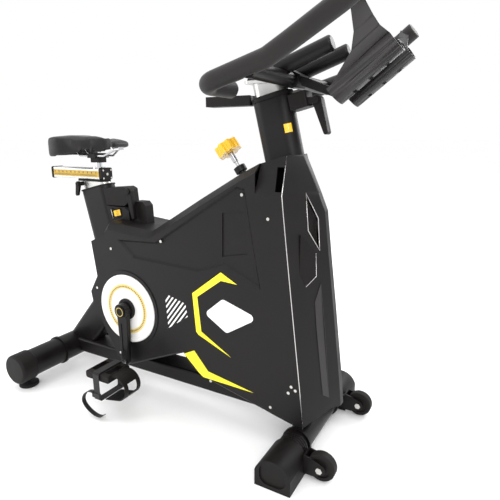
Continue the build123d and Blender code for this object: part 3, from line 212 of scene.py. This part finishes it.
# hard chrome: a clean mirror with the slightest waviness
hardChrome, tree, shader = newMaterial("hard chrome", "#D8D9DB", 0.07, 1.0)
grain(tree, shader, 90.0, 0.00003, 0.05, 0.11)

# satin anodised extrusion: fine lines along the draw
anodised, tree, shader = newMaterial("satin anodised aluminium", "#C6C6C4", 0.34, 1.0)
grain(tree, shader, 160.0, 0.00004, 0.28, 0.4, stretch=(0.1, 6, 6))

# turned grey iron: dull with a low metallic glint
castIron, tree, shader = newMaterial("turned grey iron", "#6F6E6C", 0.45, 1.0)
grain(tree, shader, 240.0, 0.00008, 0.38, 0.55)

# natural rubber, slightly chalky where it is rubbed
tyreRubber, tree, shader = newMaterial("black moulded rubber",
                                       "#0E0C0C", 0.7, Specular_IOR_Level=0.25)
place, fine, slow = grain(tree, shader, 380.0, 0.00025, 0.6, 0.8)
mottle(tree, shader, slow.outputs["Fac"], "#0C0A0A", "#191614")

# gloss injection moulded yellow: saturated with a soft coat
glossYellow, tree, shader = newMaterial("gloss yellow ABS", "#F0B911", 0.28, Coat_Weight=0.3)
place, fine, slow = grain(tree, shader, 60.0, 0.00006, 0.22, 0.34)
mottle(tree, shader, slow.outputs["Fac"], "#E9AE0C", "#F6C41E")

# screen printed yellow film on the shroud
yellowFilm, tree, shader = newMaterial("yellow vinyl film", "#F4E51A", 0.32)
place, fine, slow = grain(tree, shader, 200.0, 0.00003, 0.28, 0.38)
mottle(tree, shader, slow.outputs["Fac"], "#EFDF12", "#F8EC2C")

# printed ruler strip: ochre ink on foil, a little duller than the vinyl
rulerFilm, tree, shader = newMaterial("ochre printed foil", "#B59332", 0.42)
place, fine, slow = grain(tree, shader, 260.0, 0.00003, 0.36, 0.5)
mottle(tree, shader, slow.outputs["Fac"], "#A98829", "#C09D3A")

# cream gold ink of the dial ring
dialInk, tree, shader = newMaterial("pale gold screen ink", "#D9BE72", 0.4)
place, fine, slow = grain(tree, shader, 200.0, 0.00003, 0.34, 0.46)
mottle(tree, shader, slow.outputs["Fac"], "#D2B564", "#E6D08C")

# black screen ink
blackInk, tree, shader = newMaterial("black screen ink", "#151212", 0.5, Specular_IOR_Level=0.3)
place, fine, slow = grain(tree, shader, 300.0, 0.00002, 0.44, 0.58)
mottle(tree, shader, slow.outputs["Fac"], "#110F0F", "#1C1918")

# satin silver foil over plastic: real trim on the vent frames, and painted highlights along the seam
# ridge, beside the height window and on the panel edge
silverTrimAndHighlight, tree, shader = newMaterial("satin silver trim and painted highlight", "#C9C7C6", 0.28, 1.0)
grain(tree, shader, 240.0, 0.00003, 0.22, 0.34)

# expanded steel mesh behind the vents
ventMesh, tree, shader = newMaterial("black expanded steel mesh", "#0A0808", 0.6,
                                     Specular_IOR_Level=0.2)
place = addNode(tree, "ShaderNodeTexCoord")
holes = addNode(tree, "ShaderNodeTexVoronoi", {"Vector": place.outputs["Object"], "Scale": 300.0})
bump = addNode(tree, "ShaderNodeBump", {"Height": holes.outputs["Distance"], "Distance": 0.001,
                                        "Strength": 0.8})
tree.links.new(bump.outputs["Normal"], shader.inputs["Normal"])
mottle(tree, shader, holes.outputs["Distance"], "#050404", "#1C1918", 0.1, 0.6)

# white film
whiteFilm, tree, shader = newMaterial("white vinyl film", "#E9E8E6", 0.35)
place, fine, slow = grain(tree, shader, 200.0, 0.00003, 0.3, 0.42)
mottle(tree, shader, slow.outputs["Fac"], "#DEDDDC", "#F1F0EE")

# gold ring of the crank caps
goldCap, tree, shader = newMaterial("gold lacquered cap", "#C9B063", 0.3, 0.6)
grain(tree, shader, 300.0, 0.00004, 0.24, 0.36)

# smooth saddle vinyl: a 1 mm leather grain under a soft sheen
saddleVinyl, tree, shader = newMaterial("black saddle vinyl",
                                        "#100E0F", 0.45, Sheen_Weight=0.1, Specular_IOR_Level=0.28)
place = addNode(tree, "ShaderNodeTexCoord")
cells = addNode(tree, "ShaderNodeTexVoronoi", {"Vector": place.outputs["Object"], "Scale": 520.0},
                feature="DISTANCE_TO_EDGE")
bump = addNode(tree, "ShaderNodeBump", {"Height": cells.outputs["Distance"], "Distance": 0.0002,
                                        "Strength": 0.5})
tree.links.new(bump.outputs["Normal"], shader.inputs["Normal"])
slow = addNode(tree, "ShaderNodeTexNoise", {"Vector": place.outputs["Object"], "Scale": 20.0})
rough = addNode(tree, "ShaderNodeMapRange", {"Value": slow.outputs["Fac"], "To Min": 0.36,
                                             "To Max": 0.5})
tree.links.new(rough.outputs["Result"], shader.inputs["Roughness"])
mottle(tree, shader, slow.outputs["Fac"], "#0E0C0D", "#151213")

# woven nylon webbing: 1.6 mm rows across the strap
webbing, tree, shader = newMaterial("black nylon webbing",
                                    "#0F0D0D", 0.75, Sheen_Weight=0.15, Specular_IOR_Level=0.25)
place = addNode(tree, "ShaderNodeTexCoord")
rows = addNode(tree, "ShaderNodeTexWave", {"Vector": place.outputs["Object"], "Scale": 200.0,
                                           "Distortion": 0.6}, bands_direction="Z")
bump = addNode(tree, "ShaderNodeBump", {"Height": rows.outputs["Fac"], "Distance": 0.0006,
                                        "Strength": 0.7})
tree.links.new(bump.outputs["Normal"], shader.inputs["Normal"])
mottle(tree, shader, rows.outputs["Fac"], "#0A0909", "#1A1717", 0.2, 0.8)
print("materials ready")

finishes = {
    powderCoat: ["base_frame", "stabilizers", "seat_sleeve", "head_sleeve", "inner_frame",
                 "wheel_brackets", "crank_arm_right", "crank_arm_left", "handlebar_cross",
                 "bar_stem", "brake_arm", "rod_sleeve"],
    shroudAbs: ["shroud_right", "shroud_left", "shroud_front"],
    nylonBlack: ["rear_boots", "front_boots", "post_bushes", "seat_clamp", "head_clamp",
                 "seat_lever", "head_lever", "slider_lever", "rear_bracket", "slider_ends",
                 "saddle_clamp", "post_cover", "pedal_right", "pedal_left", "seat_carriage",
                 "crank_caps"],
    trayPlastic: ["console_tray"],
    gripFoam: ["handlebar_arms"],
    machinedSteel: ["axle_parts", "flywheel_hub", "push_rod", "crank_axle", "saddle_rails"],
    zincPlate: ["frame_bolts", "slider_bolts"],
    hardChrome: ["seat_pin"],
    anodised: ["seat_post", "handlebar_post", "seat_slider", "drive_pulley"],
    castIron: ["flywheel"],
    tyreRubber: ["levelling_foot_right", "levelling_foot_left", "drive_belt",
                 "transport_wheel_right", "transport_wheel_left"],
    glossYellow: ["resistance_knob"],
    rulerFilm: ["slider_scales"],
    yellowFilm: ["decals_yellow"],
    whiteFilm: ["decals_white", "crank_covers"],
    saddleVinyl: ["saddle_pad"],
    webbing: ["pedal_strap_right", "pedal_strap_left"],
}
for material, names in finishes.items():
    for name in names:
        piece = nodes[name]
        piece.data.materials.clear()
        piece.data.materials.append(material)

# rounded edges on the CAD pieces, in millimetres
edgeRounds = {"shroud_right": 2.0, "shroud_left": 2.0, "shroud_front": 2.0, "front_boots": 3.0,
              "rear_boots": 2.0, "console_tray": 0.8, "head_clamp": 1.2, "seat_clamp": 1.2,
              "rear_bracket": 1.5, "bar_stem": 1.5, "pedal_right": 1.2, "pedal_left": 1.2,
              "resistance_knob": 1.2, "post_cover": 1.5, "slider_ends": 1.0}
for name, width in edgeRounds.items():
    piece = nodes[name]
    weld = piece.modifiers.new("join", "WELD")
    weld.merge_threshold = 0.00001
    bevel = piece.modifiers.new("round", "BEVEL")
    bevel.width = width / 1000
    bevel.segments = 3
    bevel.limit_method = "ANGLE"
    bevel.angle_limit = radians(34)
print("finishes on the CAD pieces")


# mesh helpers
def finishMesh(name, mesh, material, body, bevel=0.0):
    # object at the origin, faces outward, optional small bevel, riding on its body
    work = bmesh.new()
    work.from_mesh(mesh)
    bmesh.ops.remove_doubles(work, verts=work.verts, dist=1e-6)
    bmesh.ops.recalc_face_normals(work, faces=work.faces)
    work.to_mesh(mesh)
    work.free()
    piece = bpy.data.objects.new(name, mesh)
    bpy.context.collection.objects.link(piece)
    mesh.materials.clear()
    mesh.materials.append(material)
    if bevel:
        edge = piece.modifiers.new("round", "BEVEL")
        edge.width = bevel
        edge.segments = 2
        edge.limit_method = "ANGLE"
        edge.angle_limit = radians(30)
    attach(piece, body)
    return piece


def ringMesh(name, centre, profile, steps=96):
    # closed profile of (radius, y) turned about the Y axis through centre
    verts = []
    faces = []
    count = len(profile)
    for i in range(steps):
        turn = 2 * pi * i / steps
        for radius, y in profile:
            verts.append((centre[0] + radius * cos(turn), y, centre[2] + radius * sin(turn)))
    for i in range(steps):
        for j in range(count):
            a = i * count + j
            b = i * count + (j + 1) % count
            c = ((i + 1) % steps) * count + (j + 1) % count
            d = ((i + 1) % steps) * count + j
            faces.append((a, b, c, d))
    mesh = bpy.data.meshes.new(name)
    mesh.from_pydata(verts, [], faces)
    return mesh


def prismMesh(name, base, offset):
    # closed slab: a polygon of points and the same polygon moved by offset
    count = len(base)
    verts = list(base) + [tuple(Vector(p) + Vector(offset)) for p in base]
    faces = [tuple(range(count)), tuple(range(2 * count - 1, count - 1, -1))]
    faces += [(i, (i + 1) % count, count + (i + 1) % count, count + i) for i in range(count)]
    mesh = bpy.data.meshes.new(name)
    mesh.from_pydata(verts, [], faces)
    return mesh


def wireMesh(name, points, radius, closed=False):
    # round bead along straight runs through the points
    curve = bpy.data.curves.new(name, "CURVE")
    curve.dimensions = "3D"
    curve.bevel_depth = radius
    curve.bevel_resolution = 3
    curve.use_fill_caps = True
    line = curve.splines.new("POLY")
    line.points.add(len(points) - 1)
    for point, place in zip(line.points, points):
        point.co = (*place, 1)
    line.use_cyclic_u = closed
    maker = bpy.data.objects.new(name, curve)
    bpy.context.collection.objects.link(maker)
    mesh = bpy.data.meshes.new_from_object(maker.evaluated_get(
        bpy.context.evaluated_depsgraph_get()))
    bpy.data.objects.remove(maker)
    mesh.name = name
    return mesh


def repeatTree(name, material):
    # points carry a small mesh each; every point is turned by its own turn attribute
    tree = bpy.data.node_groups.new(name, "GeometryNodeTree")
    tree.interface.new_socket("Geometry", in_out="INPUT", socket_type="NodeSocketGeometry")
    tree.interface.new_socket("Unit", in_out="INPUT", socket_type="NodeSocketObject")
    tree.interface.new_socket("Geometry", in_out="OUTPUT", socket_type="NodeSocketGeometry")
    source = addNode(tree, "NodeGroupInput")
    result = addNode(tree, "NodeGroupOutput")
    unit = addNode(tree, "GeometryNodeObjectInfo", {"Object": source.outputs["Unit"]})
    turn = addNode(tree, "GeometryNodeInputNamedAttribute", {"Name": "turn"},
                   data_type="FLOAT_VECTOR")
    points = addNode(tree, "GeometryNodeMeshToPoints", {"Mesh": source.outputs["Geometry"]})
    copies = addNode(tree, "GeometryNodeInstanceOnPoints",
                     {"Points": points.outputs["Points"], "Instance": unit.outputs["Geometry"],
                      "Rotation": turn.outputs["Attribute"]})
    solid = addNode(tree, "GeometryNodeRealizeInstances",
                    {"Geometry": copies.outputs["Instances"]})
    painted = addNode(tree, "GeometryNodeSetMaterial", {"Geometry": solid.outputs["Geometry"],
                                                        "Material": material})
    tree.links.new(painted.outputs["Geometry"], result.inputs["Geometry"])
    return tree


def repeated(name, unitMesh, places, turns, material, body):
    # one unit mesh repeated at many places, made a plain mesh
    carrier = bpy.data.meshes.new(name + "Points")
    carrier.from_pydata(places, [], [])
    layer = carrier.attributes.new("turn", "FLOAT_VECTOR", "POINT")
    for item, value in zip(layer.data, turns):
        item.vector = value
    unit = bpy.data.objects.new(name + "Unit", unitMesh)
    bpy.context.collection.objects.link(unit)
    holder = bpy.data.objects.new(name + "Holder", carrier)
    bpy.context.collection.objects.link(holder)
    repeater = holder.modifiers.new("repeat", "NODES")
    tree = repeatTree(name + "Tree", material)
    repeater.node_group = tree
    for item in tree.interface.items_tree:
        if item.in_out == "INPUT" and item.name == "Unit":
            repeater[item.identifier] = unit
    mesh = bpy.data.meshes.new_from_object(holder.evaluated_get(
        bpy.context.evaluated_depsgraph_get()))
    mesh.name = name
    bpy.data.objects.remove(holder)
    bpy.data.objects.remove(unit)
    piece = bpy.data.objects.new(name, mesh)
    bpy.context.collection.objects.link(piece)
    mesh.materials.clear()
    mesh.materials.append(material)
    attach(piece, body)
    return piece


def boxUnit(name, size):
    x, y, z = (v / 2 for v in size)
    base = [(-x, -y, -z), (x, -y, -z), (x, -y, z), (-x, -y, z)]
    return prismMesh(name, base, (0, 2 * y, 0))


def midOf(node):
    low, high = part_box(node)
    return Vector([(a + b) / 2 for a, b in zip(low, high)])


# crank dials
dial = {"rimOuter": 0.111, "rimInner": 0.0985, "ringOuter": 0.081, "ringInner": 0.068,
        "dashRadius": 0.0735, "dashes": 72, "hub": 0.034, "face": 0.1083}
crankCentre = midOf("crank_covers")
for side, sign in (("right", -1), ("left", 1)):
    face = dial["face"]
    rim = ringMesh("dialRim_" + side, crankCentre,
                   [(dial["rimOuter"], sign * (face - 0.0002)), (dial["rimInner"], sign * face),
                    (dial["rimInner"], sign * (face + 0.001)),
                    (dial["rimInner"] + 0.003, sign * (face + 0.0032)),
                    (dial["rimOuter"] - 0.004, sign * (face + 0.0032)),
                    (dial["rimOuter"] - 0.001, sign * (face + 0.0015))])
    finishMesh("dialRim_" + side, rim, whiteFilm, "frame")
    ring = ringMesh("dialRing_" + side, crankCentre,
                    [(dial["ringOuter"], sign * (face - 0.0001)),
                     (dial["ringOuter"], sign * (face + 0.0006)),
                     (dial["ringInner"], sign * (face + 0.0014)),
                     (dial["ringInner"], sign * (face - 0.0001))])
    finishMesh("dialRing_" + side, ring, dialInk, "frame")
    hub = ringMesh("dialHub_" + side, crankCentre,
                   [(dial["hub"], sign * (face - 0.0001)), (dial["hub"], sign * (face + 0.004)),
                    (dial["hub"] - 0.004, sign * (face + 0.007)), (0.0235, sign * (face + 0.007)),
                    (0.0235, sign * (face - 0.0001))])
    finishMesh("dialHub_" + side, hub, nylonBlack, "frame")
    places = []
    turns = []
    for i in range(dial["dashes"]):
        angle = 2 * pi * i / dial["dashes"]
        places.append((crankCentre.x + dial["dashRadius"] * cos(angle), sign * (face + 0.0009),
                       crankCentre.z + dial["dashRadius"] * sin(angle)))
        turns.append((0, -angle, 0))
    repeated("dialDashes_" + side, boxUnit("dash", (0.0046, 0.0006, 0.0030)), places, turns,
             blackInk, "frame")
capLow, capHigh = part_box("crank_caps")
for side, outer in (("right", capLow[1]), ("left", capHigh[1])):
    sign = -1 if side == "right" else 1
    band = ringMesh("capBand_" + side, crankCentre,
                    [(0.0145, outer - sign * 0.0003), (0.0145, outer + sign * 0.0003),
                     (0.0125, outer + sign * 0.0003), (0.0125, outer - sign * 0.0003)], 64)
    finishMesh("capBand_" + side, band, goldCap, "crank")
print("crank dials done")

# ruler marks
ruler = {"pitch": 0.005, "short": 0.0065, "width": 0.0011, "start": 0.008, "ends": 0.012,
         "ink": 0.0004, "tensTall": 0.006, "tensWiden": 2.4, "tensEvery": 4,
         "markLevel": 0.0055, "tensLevel": 0.0145}
low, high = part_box("slider_scales")
for side, y in (("right", low[1]), ("left", high[1])):
    sign = -1 if side == "right" else 1
    marks = int((high[0] - low[0] - ruler["ends"]) / ruler["pitch"])
    places = [(low[0] + ruler["start"] + i * ruler["pitch"], y + sign * 0.0001,
               low[2] + ruler["markLevel"]) for i in range(marks)]
    tens = [(x, level, low[2] + ruler["tensLevel"])
            for x, level, height in places[::ruler["tensEvery"]]]
    mark = boxUnit("mark", (ruler["width"], ruler["ink"], ruler["short"]))
    repeated("rulerMarks_" + side, mark, places, [(0, 0, 0)] * len(places), blackInk,
             "seat_slider")
    ten = boxUnit("ten", (ruler["width"] * ruler["tensWiden"], ruler["ink"], ruler["tensTall"]))
    repeated("rulerTens_" + side, ten, tens, [(0, 0, 0)] * len(tens), blackInk,
             "seat_slider")
print("ruler marks done")

# height windows
# levels below are taken from the pin under the saddle, 388 mm behind the design origin
shift = midOf("seat_pin").x + 0.388
postLean = radians(13.7)
windowAt = {"x": -0.2925 + shift, "z": 0.598, "wide": 0.037, "tall": 0.027, "y": -0.0272}
halfW = windowAt["wide"] / 2
halfH = windowAt["tall"] / 2


def tilted(x, z):
    # a point on the window's face, from its own leaning axes
    return (windowAt["x"] + x * cos(postLean) - z * sin(postLean), windowAt["y"],
            windowAt["z"] + x * sin(postLean) + z * cos(postLean))


def windowCorners(inset):
    wide, tall = halfW - inset, halfH - inset
    return [tilted(-wide, -tall), tilted(wide, -tall), tilted(wide, tall), tilted(-wide, tall)]


finishMesh("windowPlate", prismMesh("windowPlate", windowCorners(0.004), (0, 0.0012, 0)),
           glossYellow, "frame", 0.0003)
border = [(x, y - 0.0006, z) for x, y, z in windowCorners(0)]
finishMesh("windowBorder", wireMesh("windowBorder", border, 0.0022, True), nylonBlack, "frame")
# painted highlight: a silver wire beside the window's rear edge stands for the bright line where the
# sleeve's rounded front catches the light
edge = [tilted(-halfW - 0.004, -halfH - 0.002), tilted(-halfW - 0.004, halfH + 0.002)]
finishMesh("windowEdge", wireMesh("windowEdge", edge, 0.0014), silverTrimAndHighlight, "frame")
places = [tilted(0.001, -halfH + 0.007 + i * 0.0032) for i in range(5)]
places = [(x, y - 0.0001, z) for x, y, z in places]
repeated("windowMarks", boxUnit("windowMark", (0.012, 0.0003, 0.0009)), places,
         [(0, -postLean, 0)] * len(places), blackInk, "frame")

headLabel = {"x": 0.2997, "z": 0.857, "radius": 0.0309, "tall": 0.022, "from": -78, "to": -42}
labelArc = []
for i in range(9):
    angle = radians(headLabel["from"] + (headLabel["to"] - headLabel["from"]) * i / 8)
    labelArc.append((headLabel["radius"] * cos(angle), headLabel["radius"] * sin(angle)))


def onSleeve(across, outward, up):
    # a point on the leaning sleeve's round end, from its own axes
    return (headLabel["x"] + shift + across * cos(postLean) - up * sin(postLean), outward,
            headLabel["z"] + across * sin(postLean) + up * cos(postLean))


verts = []
for scale in (1.0, 1.026):
    for across, outward in labelArc:
        for up in (-headLabel["tall"] / 2, headLabel["tall"] / 2):
            verts.append(onSleeve(across * scale, outward * scale, up))
count = len(labelArc)
faces = []
for i in range(count - 1):
    a, b = 2 * i, 2 * i + 2
    inner = 2 * count
    faces += [(a, b, b + 1, a + 1), (inner + a, inner + a + 1, inner + b + 1, inner + b),
              (a, inner + a, inner + b, b), (a + 1, b + 1, inner + b + 1, inner + a + 1)]
last = 2 * (count - 1)
faces += [(0, 1, 2 * count + 1, 2 * count),
          (last, 2 * count + last, 2 * count + last + 1, last + 1)]
labelMesh = bpy.data.meshes.new("headPlate")
labelMesh.from_pydata(verts, [], faces)
finishMesh("headPlate", labelMesh, glossYellow, "frame")
print("height windows done")

# front cover trims, and painted highlights drawn as silver wire along the seam ridge and the panel
# edge
seamLine = [(0.328, 0.062, 0.793), (0.336, 0.105, 0.700), (0.341, 0.1055, 0.655),
            (0.3555, 0.1055, 0.530), (0.369, 0.1055, 0.417), (0.396, 0.1055, 0.194),
            (0.4070, 0.1055, 0.088)]
ventLoop = [(0.374, 0.044, 0.702), (0.403, 0.029, 0.639), (0.411, 0.032, 0.557),
            (0.387, 0.054, 0.610)]
outward = Vector((0.74, 0.67, 0.08)).normalized()
panelLoop = [(0.376, 0.0775, 0.604), (0.404, 0.040, 0.551), (0.4085, 0.0435, 0.491),
             (0.392, 0.071, 0.468), (0.378, 0.082, 0.500)]
spearLoop = [(0.419, 0.036, 0.473), (0.411, 0.054, 0.425), (0.419, 0.0565, 0.350),
             (0.442, 0.0545, 0.167), (0.455, 0.038, 0.155), (0.436, 0.038, 0.350)]
for side, sign in (("right", -1), ("left", 1)):
    # painted highlight: a thin silver wire along the ridge of the cover's seam, where the light
    # catches the ridge
    seam = [(x + shift + 0.0012, sign * (y + 0.0006), z) for x, y, z in seamLine]
    finishMesh("seamTrim_" + side, wireMesh("seamTrim_" + side, seam, 0.0012), silverTrimAndHighlight,
               "frame")
    face = Vector((outward.x, sign * outward.y, outward.z))
    vent = [tuple(Vector((x + shift, sign * y, z)) + face * 0.0006) for x, y, z in ventLoop]
    finishMesh("ventFrame_" + side, wireMesh("ventFrame_" + side, vent, 0.0016, True),
               silverTrimAndHighlight, "frame")
    back = [tuple(Vector(p) - face * 0.012) for p in vent]
    finishMesh("ventMesh_" + side, prismMesh("ventMesh_" + side, back, tuple(face * -0.001)),
               ventMesh, "frame")
    for label, loop, tone in (("panel", panelLoop, nylonBlack), ("spear", spearLoop, trayPlastic)):
        raised = [tuple(Vector((x + shift, sign * y, z)) + face * -0.001) for x, y, z in loop]
        finishMesh(label + "Inset_" + side,
                   prismMesh(label + side, raised, tuple(face * 0.0028)), tone, "frame",
                   0.0012)
    # painted highlight: a silver wire along three edges of the panel inset stands for the light on
    # the recess's bevel
    rim = [tuple(Vector((x + shift, sign * y, z)) + face * 0.0014) for x, y, z in panelLoop[:4]]
    finishMesh("panelEdge_" + side, wireMesh("panelEdge_" + side, rim[1:], 0.0009), silverTrimAndHighlight,
               "frame")
print("front cover trims done")

# saddle
saddle = {"voxel": 0.005, "pressure": 4.0, "steps": 20, "stretch": 40, "bend": 12,
          "cap": 0.007, "draw": 0.93, "lift": 0.006}


def cleanCopy(node, name):
    # merged copy of a CAD node's mesh as a new object
    mesh = nodes[node].data.copy()
    mesh.name = name
    work = bmesh.new()
    work.from_mesh(mesh)
    bmesh.ops.remove_doubles(work, verts=work.verts, dist=0.00002)
    bmesh.ops.recalc_face_normals(work, faces=work.faces)
    work.to_mesh(mesh)
    work.free()
    mesh.materials.clear()
    piece = bpy.data.objects.new(name, mesh)
    bpy.context.collection.objects.link(piece)
    return piece


def bake(piece):
    # modifiers applied into a plain mesh
    mesh = bpy.data.meshes.new_from_object(piece.evaluated_get(
        bpy.context.evaluated_depsgraph_get()))
    piece.modifiers.clear()
    piece.data = mesh
    return mesh


pad = cleanCopy("saddle_pad", "saddleCushion")
remesh = pad.modifiers.new("voxels", "REMESH")
remesh.mode = "VOXEL"
remesh.voxel_size = saddle["voxel"]
relax = pad.modifiers.new("relax", "SMOOTH")
relax.factor = 0.5
relax.iterations = 12
bake(pad)
startPlaces = [v.co.copy() for v in pad.data.vertices]
cloth = pad.modifiers.new("cloth", "CLOTH")
settings = cloth.settings
settings.use_pressure = True
settings.uniform_pressure_force = saddle["pressure"]
settings.tension_stiffness = saddle["stretch"]
settings.compression_stiffness = saddle["stretch"]
settings.bending_stiffness = saddle["bend"]
settings.effector_weights.gravity = 0
cloth.point_cache.frame_start = 1
cloth.point_cache.frame_end = saddle["steps"]
for step in range(1, saddle["steps"] + 1):
    bpy.context.scene.frame_set(step)
grown = pad.evaluated_get(bpy.context.evaluated_depsgraph_get()).data
moved = [v.co.copy() for v in grown.vertices]
pad.modifiers.clear()
for vertex, start, end in zip(pad.data.vertices, startPlaces, moved):
    step = end - start
    if step.length > saddle["cap"]:
        step = step.normalized() * saddle["cap"]
    vertex.co = start + step
travel = [(end - start).length for start, end in zip(startPlaces, moved)]
print("cloth moved the pad by at most", round(max(travel) * 1000, 2), "mm, mean",
      round(sum(travel) / len(travel) * 1000, 2), "mm")
bpy.context.scene.frame_set(1)
# the nose is drawn in a little and its end lifted, inside the box of the pad
padLow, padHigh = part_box("saddle_pad")
padMiddle = (padLow[0] + padHigh[0]) / 2
for vertex in pad.data.vertices:
    along = max(0.0, vertex.co.x - padMiddle) / (padHigh[0] - padMiddle)
    vertex.co.x = padMiddle + (vertex.co.x - padMiddle) * saddle["draw"]
    vertex.co.z += saddle["lift"] * along ** 2
soft = pad.modifiers.new("soft", "SMOOTH")
soft.factor = 0.5
soft.iterations = 6
smooth = pad.modifiers.new("smooth", "SUBSURF")
smooth.levels = 1
smooth.render_levels = 1
bake(pad)
for polygon in pad.data.polygons:
    polygon.use_smooth = True
pad.data.materials.clear()
pad.data.materials.append(saddleVinyl)
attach(pad, "saddle")
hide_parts("saddle_pad")
print("saddle done", len(pad.data.vertices))

# grips
grip = {"voxel": 0.0028, "smoothing": 8}
grips = cleanCopy("handlebar_arms", "foamGrips")
remesh = grips.modifiers.new("voxels", "REMESH")
remesh.mode = "VOXEL"
remesh.voxel_size = grip["voxel"]
relax = grips.modifiers.new("relax", "SMOOTH")
relax.factor = 0.5
relax.iterations = grip["smoothing"]
bake(grips)
for polygon in grips.data.polygons:
    polygon.use_smooth = True
grips.data.materials.clear()
grips.data.materials.append(gripFoam)
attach(grips, "handlebar")
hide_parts("handlebar_arms")
print("grips done", len(grips.data.vertices))
